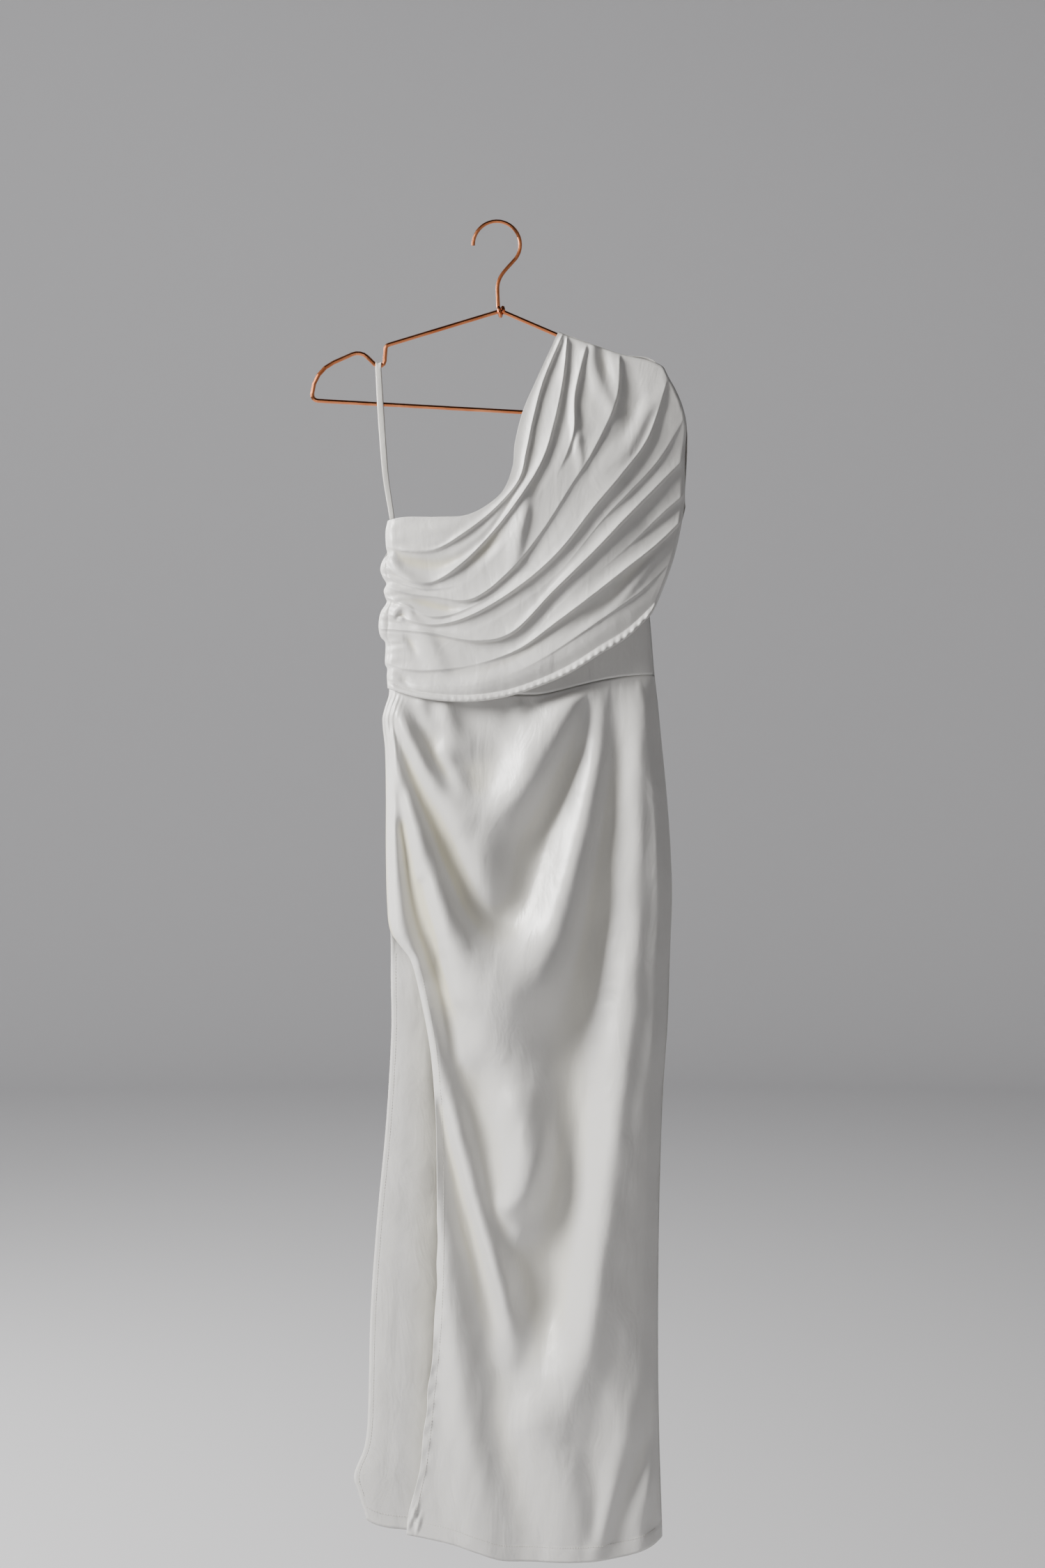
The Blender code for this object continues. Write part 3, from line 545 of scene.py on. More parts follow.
# Crests and hollows of the folds, in the same form as those of the back
SKIRT_LINES = {
    "side ridge": [(-124, -560, 3), (-121, -620, 7), (-117, -680, 10), (-113, -740, 11.5), (-108, -795, 12),
        (-98, -845, 11.5), (-85, -895, 10.5), (-72, -945, 10.5), (-61, -990, 10), (-50, -1040, 8.5),
        (-38, -1085, 6), (-27, -1125, 4), (-16, -1165, 2.5), (-6, -1200, 0), (3, -1235, -3.5),
        (13, -1272, -8)],
    "side ridge, foot": [(-64, -1010, -2), (-55, -1052, -5), (-47, -1085, -8.5), (-38, -1120, -11),
        (-27, -1155, -13.5), (-16, -1195, -15), (-5, -1232, -14.5), (6, -1268, -13), (15, -1300, -11)],
    "side hollow": [(-108, -690, -1), (-101, -740, -2), (-93, -790, -2.5), (-82, -835, -3), (-68, -885, -4),
        (-55, -935, -5), (-43, -980, -6), (-31, -1020, -6.5), (-20, -1060, -7), (-9, -1100, -7.5),
        (2, -1140, -9), (12, -1180, -11), (22, -1222, -13.5), (30, -1262, -15)],
    "side hollow, inner": [(-84, -756, -1), (-76, -795, -1), (-64, -845, -1.5), (-52, -890, -2),
        (-43, -925, -2.5), (-35, -955, -2.5)],
    "second swag, edge": [(-109, -655, 6), (-100, -700, 7), (-87, -756, 8), (-77, -795, 8.5),
        (-62, -845, 9.5), (-47, -890, 10.5)],
    "second swag": [(-119, -585, 7), (-112, -625, 11), (-104, -660, 13.5), (-95, -700, 15),
        (-84, -740, 16.5), (-74, -780, 17), (-63, -820, 18), (-51, -855, 19), (-36, -885, 19.5),
        (-14, -902, 20.5), (8, -905, 21.5), (28, -894, 21.5), (46, -877, 21.5), (58, -857, 21.5),
        (67, -832, 21.5), (76, -797, 20), (85, -757, 18), (95, -717, 15.5), (103, -680, 12.5),
        (110, -638, 10), (116, -600, 7), (118, -565, 5), (119, -530, 3)],
    "second swag, right shoulder": [(123, -600, 5), (117, -640, 7.5), (110, -680, 9.5), (102, -720, 11.5),
        (92, -760, 14), (83, -797, 16.5)],
    "inner step": [(-119, -572, 1), (-110, -598, 1), (-98, -627, 0), (-81, -670, -1), (-62, -705, -3),
        (-42, -742, -5), (-22, -776, -7.5), (-6, -796, -8.5)],
    "inner fold": [(-116, -560, 5.5), (-107, -582, 10), (-96, -602, 12), (-84, -622, 12.5), (-73, -641, 12),
        (-62, -660, 11), (-51, -682, 10.5), (-42, -702, 10)],
    "first swag": [(-10, -786, -5), (-21, -763, 1), (-32, -736, 5.5), (-37, -714, 8.5), (-26, -697, 11.5),
        (-5, -681, 14.5), (20, -661, 17), (42, -640, 18), (60, -612, 17.5), (74, -587, 15.5),
        (88, -560, 12), (98, -538, 6)],
    "first swag, hollow": [(104, -545, 1), (99, -575, -1), (93, -600, -4), (79, -640, -7.5),
        (65, -680, -9.5), (52, -720, -10), (40, -760, -9), (26, -790, -8), (10, -803, -8)],
    "gather hollow": [(-100, -548, 0), (-92, -568, -2.5), (-82, -590, -4), (-70, -612, -2.5),
        (-58, -632, 0), (-47, -650, 5)],
    "first waist crease": [(-86, -546, 4.5), (-82, -560, 3), (-77, -575, 1)],
    "first waist crease, foot": [(-77, -550, 0), (-73, -566, -1)],
    "second waist crease": [(-60, -546, 5), (-53, -568, 5.5), (-43, -590, 4), (-33, -606, 2.5)],
    "second waist crease, foot": [(-50, -548, 0), (-40, -572, -1), (-30, -594, 1)],
    "inner crease": [(-62, -606, 4), (-52, -624, 5), (-42, -640, 6), (-34, -654, 7)],
    "inner crease, foot": [(-44, -618, 0.5), (-34, -636, 1.5), (-26, -652, 3)],
    "first swag, lap": [(0, -556, 0), (4, -590, 1), (4, -620, 3), (0, -648, 6)],
    "small tuck": [(27, -546, 3), (24, -560, 3), (20, -574, 1.5)],
    "small tuck, foot": [(19, -546, -0.8), (16, -562, -0.8)],
    "small tuck, other foot": [(36, -546, -0.8), (37, -558, -0.5)],
    "right hollow": [(124, -528, 0), (130, -570, 0), (132, -600, -1), (129, -640, -2), (126, -680, -3),
        (122, -720, -4), (117, -760, -6), (111, -800, -9), (105, -860, -13), (100, -900, -15),
        (97, -940, -16), (95, -1000, -16), (91, -1050, -16), (86, -1100, -16), (82, -1160, -16),
        (79, -1204, -16), (74, -1240, -16), (65, -1268, -15.5), (50, -1290, -14.5), (34, -1304, -13)],
    "hook fold": [(20, -1012, 7.5), (32, -1042, 9), (40, -1075, 11), (36, -1100, 10.5), (24, -1117, 8),
        (10, -1126, 5)],
    "hook fold, foot": [(60, -1030, -6), (65, -1050, -8.5), (65, -1078, -10.5), (58, -1110, -11),
        (42, -1138, -10.5), (24, -1158, -10)],
    "long swag": [(152, -524, 2), (160, -560, 5), (163, -600, 7), (163, -700, 8), (161, -800, 10),
        (157, -880, 13), (150, -940, 16), (142, -1000, 18), (134, -1060, 19), (126, -1110, 19),
        (119, -1160, 19.5), (113, -1205, 20), (109, -1252, 19), (102, -1296, 16.5), (88, -1336, 13),
        (64, -1362, 9), (38, -1370, 5)],
    "long swag, outer foot": [(193, -650, 4), (197, -750, 4), (195, -850, 4.5), (191, -950, 5),
        (186, -1040, 5), (181, -1120, 4)],
    "long swag, shoulder": [(172, -600, 5.5), (174, -700, 6.5), (173, -800, 8), (170, -880, 10),
        (164, -940, 12.5), (156, -1000, 15), (148, -1060, 16.5), (140, -1110, 17), (133, -1160, 17),
        (127, -1210, 16.5), (123, -1260, 14.5), (117, -1310, 10.5), (108, -1352, 7)],
    "slit ridge": [(-66, -1130, 6), (-62, -1180, 7.5), (-57, -1225, 8), (-51, -1270, 7.5),
        (-44, -1318, 5.5), (-36, -1360, 3.5), (-27, -1402, 1.5), (-17, -1444, 0), (-7, -1485, -1.5),
        (3, -1524, -2)],
    "slit hollow": [(-66, -1040, -1), (-60, -1080, -3), (-52, -1120, -6), (-42, -1160, -9.5),
        (-31, -1202, -12), (-20, -1250, -13.5), (-8, -1300, -14), (1, -1350, -13), (9, -1400, -11.5),
        (18, -1450, -9.5), (28, -1500, -7.5), (34, -1532, -6.5)],
    "slit edge hollow": [(-67, -1290, 2), (-67, -1340, 0), (-65, -1400, -1), (-61, -1450, -2),
        (-52, -1500, -2)],
    "foot column": [(50, -1400, 3), (62, -1460, 2), (70, -1530, 1)],
    "foot fold": [(84, -1395, 5), (92, -1435, 5), (98, -1480, 4.5), (101, -1528, 4)],
    "foot fold, hollow": [(118, -1385, 2.5), (114, -1430, 1.5), (114, -1475, 1), (112, -1505, 2)],
    "right foot fold": [(174, -1300, 3), (167, -1345, 5), (157, -1385, 6.5), (143, -1425, 7),
        (128, -1465, 6.5), (110, -1520, 5)],
    "right foot fold, hollow": [(183, -1345, -1), (174, -1390, -2), (160, -1432, -2), (142, -1470, -1),
        (128, -1518, 0)],
    "corner fold": [(185, -1400, 3.5), (178, -1440, 5.5), (170, -1480, 4), (163, -1516, 3)],
    "corner fold, hollow": [(184, -1452, -2), (177, -1490, -1)],
    "left seam": [(-130, -560, 0), (-128, -656, 0), (-127, -740, 0), (-122, -812, 0), (-94, -862, 1),
        (-80, -940, 2), (-73, -1000, 4), (-71, -1060, 6), (-69.5, -1120, 6), (-69, -1184, 5),
        (-72, -1250, 4), (-76, -1300, 4), (-81, -1344, 3.5), (-90, -1424, 3), (-104, -1504, 2)],
    "waist seam": [(-100, -536, 0), (-60, -539, 0), (-20, -541, 0), (10, -542, 0), (60, -540, 0),
        (90, -533, 0), (140, -522, 0), (182, -519, 0)],
    "right seam": [(190, -580, 0), (196, -650, 0), (201, -740, 0), (200, -840, 0), (193, -980, 0),
        (187, -1150, 0), (186, -1320, 0), (192, -1506, 0)],
}

# Small sharp tucks, each walked from its first point. Columns: x, z, rise of the crest, width
# of the flank on the walker's left, width on the right. The two numbers beside a name say
# how much each flank rolls over instead of sloping away, left and right.
SKIRT_TUCKS = {
    "corner gather 1": (0, 0.3, [(-101, -1494, 2.2, 3, 4), (-95, -1480, 2.4, 3, 4), (-88, -1463, 0, 3, 4)]),
    "corner gather 2": (0, 0.3, [(-92, -1498, 2.2, 2.5, 4), (-89, -1488, 2, 3, 4), (-85, -1476, 0, 3, 4)]),
    "corner gather 3": (0.3, 0.3, [(-97, -1470, 1.6, 3, 3), (-92, -1486, 1.8, 3, 3),
        (-84, -1496, 0, 3, 3)]),
    "hook crease": (0, 0, [(33, -1026, 0, 4, 5), (29, -1044, 1.3, 4, 6), (33, -1062, 0, 4, 5)]),
    "tuck 1": (0.3, 0, [(104, -526, 2.2, 4, 6), (101, -540, 1.4, 5, 7), (97, -556, 0, 6, 8)]),
    "tuck 2": (0.3, 0, [(109.5, -526, 2.4, 4, 5), (108, -545, 1.4, 5, 6), (106, -560, 0, 6, 7)]),
    "tuck 3": (0.3, 0, [(128, -522, 2.8, 4, 5), (127, -541, 1.6, 5, 6), (125, -562, 0, 6, 7)]),
    "tuck 4": (0.3, 0, [(137, -520, 2.4, 3.5, 4.5), (135.5, -536, 1.3, 4, 5), (134, -550, 0, 5, 6)]),
    "tuck 5": (0.3, 0, [(144.5, -519.5, 2, 3.5, 4), (143.5, -533, 1.1, 4, 5), (143, -545, 0, 5, 6)]),
    "tuck 6": (0.3, 0, [(163, -518, 1.2, 4, 5), (163, -534, 0.8, 5, 6), (163.5, -552, 0, 6, 7)]),
}


def flank(share, roll):
    """Height of a fold's side, 1 at its crest and 0 at its foot: sloping, or rolling over."""
    share = np.clip(share, 0, 1)
    slope = 0.5 + 0.5 * np.cos(np.pi * share)
    return slope + (np.sqrt(1 - share * share) - slope) * roll


def folds(x, z, table, steps=6):
    """How far the folds of a table stand out at many points."""
    total = np.zeros_like(x)
    for left_roll, right_roll, rows in table.values():
        route = smooth_rows(rows, steps)
        reach = route[:, 3:].max() + 2
        low, high = route[:, :2].min(0) - reach, route[:, :2].max(0) + reach
        near = (x > low[0]) & (x < high[0]) & (z > low[1]) & (z < high[1])
        px, pz = x[near], z[near]
        best = np.zeros_like(px)
        sign = 1.0 if route[:, 2].sum() > 0 else -1.0
        for a, b in zip(route[:-1], route[1:]):
            dx, dz = b[0] - a[0], b[1] - a[1]
            t = np.clip(((px - a[0]) * dx + (pz - a[1]) * dz) / (dx * dx + dz * dz + 1e-9), 0, 1)
            gap = np.hypot(px - a[0] - t * dx, pz - a[1] - t * dz)
            on_left = dx * (pz - a[1]) - dz * (px - a[0]) > 0
            rise = a[2] + (b[2] - a[2]) * t
            wide = np.where(on_left, a[3] + (b[3] - a[3]) * t, a[4] + (b[4] - a[4]) * t)
            roll = np.where(on_left, left_roll, right_roll)
            best = np.maximum(best, sign * rise * flank(gap / wide, roll))
        total[near] += sign * best
    return total


EDGE_FINENESS = 0.6  # how much closer the cells stand at the two sides
EDGE_LIFT = 2.6  # how far the slit's edge stands off the back panel
LEAST_ROOM = 2.0  # between the front and the back inside the skirt
GATHER, GATHER_REACH = 1.3, 13  # side gathers under the waist seam
PUCKER = 0.9  # of the stitched edge of the slit


def place_skirt_front(i, j):
    u, v = i / FRONT_COLUMNS, j / FRONT_ROWS
    u = u - EDGE_FINENESS * np.sin(2 * np.pi * u) / (2 * np.pi)
    left_edge = BODY_LEFT + FRONT_SLIT
    top = skirt_top()
    x, z = across(u, v, left_edge, BODY_RIGHT, top, FRONT_HEM)
    left, right = lookup(left_edge, z), lookup(BODY_RIGHT, z)
    open_side = ramp(-z, -SLIT_Z - 10, -SLIT_Z + SLIT_EASE)
    depth = EDGE_LIFT * open_side * (1 - u) + body_section(x, z, left, right, 1, open_side)
    from_left = x - left
    quiet = ramp(lookup(top, x) - z, -1, 16) * ramp(right - x, 0, 18)
    quiet = quiet * (ramp(from_left, 0, 12) * (1 - open_side) + open_side)
    crest = soften(through_lines(x, z, SKIRT_LINES), 6) + soften(folds(x, z, SKIRT_TUCKS), 2)
    depth = depth + crest * quiet + unevenness(x, z, 1) * ramp(-z, 560, 620)
    depth = np.where(depth < LEAST_ROOM, LEAST_ROOM * np.exp((depth - LEAST_ROOM) / LEAST_ROOM), depth)
    gathers = np.sin(from_left * 1.15 + 0.9 * np.sin(z / 19)) * np.exp(-(from_left / GATHER_REACH) ** 2)
    depth = depth + GATHER * gathers * ramp(from_left, 0, 4) * ramp(-z, 536, 552) * (1 - ramp(-z, 590, 640))
    pucker = np.sin(z / 4.6 + 2.2 * np.sin(z / 31)) * np.exp(-((from_left - 5) / 4.5) ** 2)
    depth = depth + PUCKER * pucker * ramp(-z, 1120, 1300)
    x = x + 0.8 * np.sin(z / 11 + np.sin(z / 27)) * np.exp(-from_left / 6) * ramp(-z, 1080, 1250)
    hem = lookup(FRONT_HEM, x) + HEM_WIDTH - z
    depth = depth + 0.6 * ramp(hem, -0.8, 0.8) - 0.4 * np.exp(-(hem / 1.2) ** 2)
    # Painted shade: a yellow tint where the cloth lies lower than its surroundings, fading to a third right
    # of the slit
    around = soften(crest, 160)
    hollow = ramp(around - crest, 1.0, 5.0) * (1 - 0.7 * ramp(x, -70, 0)) * ramp(-z, 560, 640)
    return x, -(SEAM / 2 + IN_WALL + depth), z, hollow


FRONT_COLUMNS, FRONT_ROWS = 150, 328
skirt_front, front_points = cloth("satin_skirt_front", FRONT_COLUMNS, FRONT_ROWS, place_skirt_front, satin)
hang_for(skirt_front, "skirt_front")
front_hem_line = [(x, lookup(FRONT_HEM, x) + HEM_WIDTH) for x in range(-96, 188, 4)]
front_slit_line = [(lookup(FRONT_SLIT, z) + 7.5, z) for z in range(-850, -1486, -6)]
front_rows = [
    stitch_row("front_hem_stitches", front_points, front_hem_line, outward=-1, pitch=2.9),
    stitch_row("front_slit_stitches", front_points, front_slit_line, outward=-1, pitch=3.4)]


# Base bodice. Two plain satin panels that close at the side seams, each with one short upright
# seam at the waist. Only the lower right of the front shows, under the drape.
BODICE_TOP = [(-125, -350), (30, -356), (170, -352)]
BODICE_COLUMNS, BODICE_ROWS = 90, 56
SHORT_SEAM = ((109.6, -512), (112, -525))
SHORT_SEAM_DEPTH = 0.7


def place_bodice(side):
    bottom = [(x, lookup(WAIST, x) + SEAM / 2) for x in range(-134, 190, 12)]

    def place(i, j):
        u = i / BODICE_COLUMNS if side == 1 else 1 - i / BODICE_COLUMNS
        x, z = across(u, j / BODICE_ROWS, BODY_LEFT, BODY_RIGHT, BODICE_TOP, bottom)
        depth = body_section(x, z, lookup(BODY_LEFT, z), lookup(BODY_RIGHT, z), side)
        (seam_x, seam_top), (seam_foot, _) = SHORT_SEAM
        seam_line = seam_x + (seam_foot - seam_x) * ramp(-z, -seam_top, -seam_top + 13)
        depth = depth - SHORT_SEAM_DEPTH * side * np.exp(-((x - seam_line) / 1.3) ** 2) * ramp(-z, 495, 505)
        return x, (-1 if side == 1 else 1) * (SEAM / 2 + IN_WALL + depth), z, 0 * x

    return place


for bodice_name, side in (("satin_bodice_front", 1), ("satin_bodice_back", 2)):
    bodice, _ = cloth(bodice_name, BODICE_COLUMNS, BODICE_ROWS, place_bodice(side), satin)
    hang_for(bodice, bodice_name.replace("satin_", ""))


# Drape. A wide band of satin on the bias, pleated into the shoulder seam and folded over
# the arm, then drawn across the chest and ruched into the left side seam. Its lower edge
# is a rolled hem, twisted like a rope where the bias pulls.
LEVEL = [0] * 10  # a guide without a pleat

# Crest heights from the shoulder or the fold over the arm to the left side seam, the guide
# that the crest's upper flank reaches back to, and the route as (x, z)
DRAPE_GUIDES = {
    "neckline": ([1, 1, 1, 1, 1, 1, 1, 1, 1, 1], None, [(71, -125), (46, -180), (30, -218), (21, -255),
        (18, -284), (4, -314), (-30, -336), (-66, -339), (-104, -338.5), (-125, -342)]),
    "neck roll": ([4, 6, 6, 6, 4, 4, 6, 6, 5, 2], "neckline", [(76, -127), (54, -180), (42, -225),
        (34, -264), (25, -298), (-2, -330), (-36, -357), (-70, -376), (-104, -377), (-128, -372)]),
    "first pleat": ([5, 7, 7, 7, 7, 8, 8, 4, 3, 2], "neck roll", [(81, -129.5), (76, -180), (66, -230),
        (52, -275), (26, -318), (-8, -361), (-44, -396), (-76, -414), (-106, -408), (-131, -392)]),
    "shoulder fold": ([5, 7, 5, 0, 0, 0, 0, 1, 2, 2], "first pleat", [(104, -137.5), (90, -196), (87, -246),
        (68, -292), (38, -338), (6, -381), (-34, -413), (-72, -421.5), (-106, -416), (-130, -404)]),
    "second pleat": ([5, 6, 4, 2.5, 3, 6, 7, 4, 4, 3], "first pleat", [(141, -150), (137, -204),
        (110, -264), (86, -302), (51, -357), (14, -402), (-28, -433), (-70, -430), (-105, -425),
        (-128, -416)]),
    "shoulder point": ([0, 0, 0, 0, 0, 0, 1, 5, 4, 3], "second pleat", [(184, -161), (160, -222),
        (128, -280), (99, -318), (60, -370), (18, -413), (-31, -443), (-71, -453), (-106, -439),
        (-131, -430)]),
    "third pleat": ([2, 7, 7, 7, 7, 7, 6, 5, 4, 3], "second pleat", [(197, -176), (174, -246), (143, -290),
        (112, -327), (70, -380), (24, -420), (-28, -451), (-70, -462), (-106, -455), (-134, -446)]),
    "arm fold": ([0, 3, 3, 1, 0, 0, 0, 0, 0, 0], "third pleat", [(216.5, -222), (186, -272), (152, -310),
        (119, -345), (76, -397), (28, -440), (-26, -465), (-71, -467), (-106, -462), (-136, -458)]),
    "fourth pleat": ([3, 7, 8, 8, 8, 8, 8, 6, 4, 3], "third pleat", [(216, -270), (180, -307), (145, -343),
        (109, -381), (64, -425), (18, -471), (-24, -480.5), (-72, -472), (-106, -468), (-134, -466)]),
    "small pleat": ([4, 5, 1, 0, 0, 0, 0, 0, 1, 1], "fourth pleat", [(216, -311), (187, -337), (150, -373),
        (113, -405), (68, -442), (22, -481), (-24, -492), (-74, -486), (-106, -482), (-130, -480)]),
    "fifth pleat": ([4, 9, 10, 9, 8, 4, 1, 4, 4, 2], "fourth pleat", [(213, -341), (182, -371), (146, -400),
        (108, -430), (68, -460), (24, -491), (-26, -508), (-74, -514), (-106, -512), (-127, -504)]),
    "smooth panel": ([0, 2, 2, 2, 1, 0, 0, 0, 0, 0], "fifth pleat", [(203, -386), (166, -423), (130, -449),
        (94, -474), (56, -499), (14, -520), (-32, -531), (-77, -533), (-106, -528), (-126, -518)]),
    "hem crease": (LEVEL, "smooth panel", [(187, -430), (152, -464), (118, -486), (85, -507), (49, -524),
        (10, -537), (-34, -542.5), (-78, -540), (-106, -534), (-125.5, -525)]),
    "hem": (LEVEL, None, [(178, -449), (149, -477), (117, -497), (83, -518), (47, -533.5), (8, -545.5),
        (-36, -550.5), (-80, -547), (-107, -540.5), (-125, -534)]),
}

# Short folds that cross the long pleats, in the same form as those of the skirt
DRAPE_FOLDS = {
    "shoulder hook": (0, 0, [(90, -212, 0, 6, 10), (92, -236, 3, 6, 10), (94, -262, 3.5, 7, 10),
        (96, -286, 0, 8, 10)]),
    "tiny cross fold": (0.2, 0.2, [(107, -236, 0, 3, 3), (101, -242, 1.4, 3, 4), (95, -252, 1.2, 3, 4),
        (91, -262, 0, 3, 4)]),
    "hollow of the Y": (0, 0, [(120, -146, -2, 9, 9), (124, -168, -4, 9, 9), (131, -190, 0, 7, 7)]),
    "left arm of the Y": (0, 0, [(112, -142, 3, 8, 10), (112, -166, 4, 8, 12), (120, -192, 4, 9, 14),
        (131, -214, 2, 10, 14), (140, -240, 0, 12, 14)]),
    "right hollow": (0, 0, [(152, -168, 0, 18, 16), (156, -200, -2.4, 20, 16), (150, -236, -2.6, 18, 16),
        (138, -262, 0, 16, 14)]),
    "upper panel ridge": (0, 0, [(190, -196, 0, 10, 14), (172, -218, 3, 10, 18), (160, -242, 4, 10, 20),
        (148, -262, 3, 12, 22), (128, -286, 0, 12, 22)]),
    "chest fold": (0, 0, [(36, -306, 0, 7, 16), (34, -330, 4, 7, 20), (29, -356, 5, 7, 22),
        (25, -380, 3, 7, 20), (20, -396, 0, 7, 16)]),
    "chest dent": (0, 0, [(4, -352, 0, 12, 12), (-8, -372, -3, 12, 12), (-30, -392, -2, 12, 10),
        (-50, -402, 0, 10, 10)]),
    "band crease": (0, 0, [(-116, -366, 0, 4, 4), (-100, -370, -2.2, 5, 5), (-78, -374, -2.4, 5, 6),
        (-60, -369, -1.6, 6, 6), (-44, -357, 0, 6, 6)]),
    "band swell": (0, 0, [(-110, -352, 0, 9, 10), (-86, -354, 2, 10, 11), (-60, -352, 2, 10, 11),
        (-34, -346, 0, 9, 10)]),
    "under band hollow": (0, 0, [(-112, -386, 0, 7, 9), (-92, -391, -3, 8, 10), (-66, -394, -4, 9, 11),
        (-38, -384, -4, 9, 10), (-12, -362, -3, 7, 8), (8, -336, -2.5, 6, 7), (20, -314, 0, 5, 6)]),
    "left branch": (0, 0.5, [(-122, -382, 3, 10, 5), (-112, -400, 4, 11, 5), (-97, -412, 4, 12, 5),
        (-84, -418, 2.5, 12, 5), (-76, -421, 0, 10, 5)]),
    "facet": (0.25, 0, [(-92, -463, 0, 9, 14), (-84, -472, 2.2, 11, 18), (-76, -484, 3.4, 12, 22),
        (-68, -500, 2.8, 12, 22), (-61, -514, 1.4, 11, 18), (-56, -524, 0, 9, 14)]),
    "dent": (0, 0, [(-106, -474, 0, 7, 7), (-97, -484, -2.6, 7, 8), (-90, -496, 0, 7, 7)]),
    "lower dent": (0, 0, [(-116, -516, 0, 6, 6), (-106, -524, -1.8, 7, 7), (-96, -536, 0, 6, 6)]),
    "yellow pocket": (0, 0, [(-98, -432, 0, 6, 7), (-80, -438, -3.4, 7, 8), (-58, -444, -3.4, 7, 8),
        (-42, -444, 0, 6, 7)]),
    "loop": (0.6, 0.6, [(-116, -447, 2, 5, 5), (-109, -441, 2.6, 5, 5), (-101, -444, 2.6, 5, 5),
        (-96, -453, 2, 5, 6), (-88, -459, 0, 6, 6)]),
    "loop pocket": (0, 0, [(-114, -454, -2, 4, 4), (-108, -451, -2.6, 4, 4), (-103, -457, -1, 4, 4)]),
    "lower swell": (0, 0, [(118, -462, 0, 24, 20), (60, -500, 3, 24, 18), (0, -524, 4, 22, 16),
        (-50, -532, 3, 18, 14), (-100, -526, 0, 14, 10)]),
    "right hollow of the panel": (0, 0, [(184, -384, 0, 12, 12), (160, -404, -2.5, 12, 14),
        (134, -430, -3, 12, 14), (104, -452, -2, 12, 14), (76, -474, 0, 12, 14)]),
    "right crease of the panel": (0, 0, [(192, -372, 0, 7, 9), (176, -392, 3, 7, 11),
        (156, -416, 3.2, 8, 12), (134, -440, 0, 8, 12)]),
}

# Little gathers along the ruched side seam: height z of each puff, its reach from the seam,
# its half width and its height
RUCHES = [(-352, 12, 5, 1.2), (-366, 14, 6, 1.8), (-388, 20, 4, 3), (-397, 26, 4.5, 3.4),
    (-407, 22, 4, 2.8), (-417, 16, 3.5, 2.6), (-425, 24, 3.5, 3.2), (-433, 20, 3.2, 2.6),
    (-441, 18, 3.5, 3), (-451, 26, 4, 3.6), (-461, 20, 4, 3), (-471, 24, 4, 3.2), (-482, 16, 3.6, 2.4),
    (-491, 20, 4, 2.6), (-502, 18, 4.5, 2.2), (-515, 22, 5, 1.8), (-525, 14, 4, 1.2)]
RUCHED_EDGE = [(-342, -125), (-354, -127.5), (-371, -127), (-381, -125.5), (-386, -130), (-397, -133.5),
    (-406, -131), (-414, -126.5), (-422, -129.5), (-429, -128), (-435, -126), (-447, -133), (-463, -135.5),
    (-475, -133), (-481, -128), (-490, -127.5), (-506, -128), (-512, -125.5), (-520, -126), (-534, -125)]
BACK_SKIPS = ("neck roll", "first pleat", "shoulder fold", "third pleat", "fourth pleat", "smooth panel",
              "hem crease")
BACK_PLEATS = {"second pleat": 5, "shoulder point": 1, "arm fold": 5, "small pleat": 3, "fifth pleat": 3}
BACK_SHIFTS = {"neckline": (4.0, -5.0), "hem": (0.0, 5.0)}
ARM_FOLD_X = 236.0  # where front and back would meet beyond the arm
ARM_ROOM = 2.0  # how far the front stands off for the arm
FRONT_ROOM = 10.0  # and for the bodice under it
LOW_ROOM = 2.6  # and above its hem
ARM_TURN = 9.0  # how far it turns back beyond the arm
OVER_SHOULDER = 3.7  # its height over the seam at the shoulder
PLEAT_RISE, PUFF_RISE = 0.64, 0.8  # shares of the heights above that are built
CREST_SHARPNESS, FALL_WIDTH = 2.8, 3.0  # of a pleat's upper flank and lower side
HEM_ROLL, HEM_TWIST = 2.2, 0.7  # heights of the rolled hem and of its rope
GUIDE_STEPS = 12


def at_fraction(dense, u):
    """Point of a dense route at a fraction of its steps, for a row of fractions."""
    place = u * (len(dense) - 1)
    i = np.clip(place.astype(int), 0, len(dense) - 2)
    t = (place - i)[..., None]
    return dense[i] * (1 - t) + dense[i + 1] * t


def pleat_section(gap, reach):
    """Section of one pleat against the distance below its crest: a long upper flank, a
    rounded crest and a short steep fall on the lower side."""
    upper = np.clip(1 + gap / reach, 0, 1) ** CREST_SHARPNESS
    lower = np.clip(1 - gap / FALL_WIDTH, 0, 1) ** 1.25
    trough = -0.12 * np.sin(np.pi * np.clip((gap - 2.5) / 16, 0, 1))
    return np.where(gap < 0, upper, lower + trough)


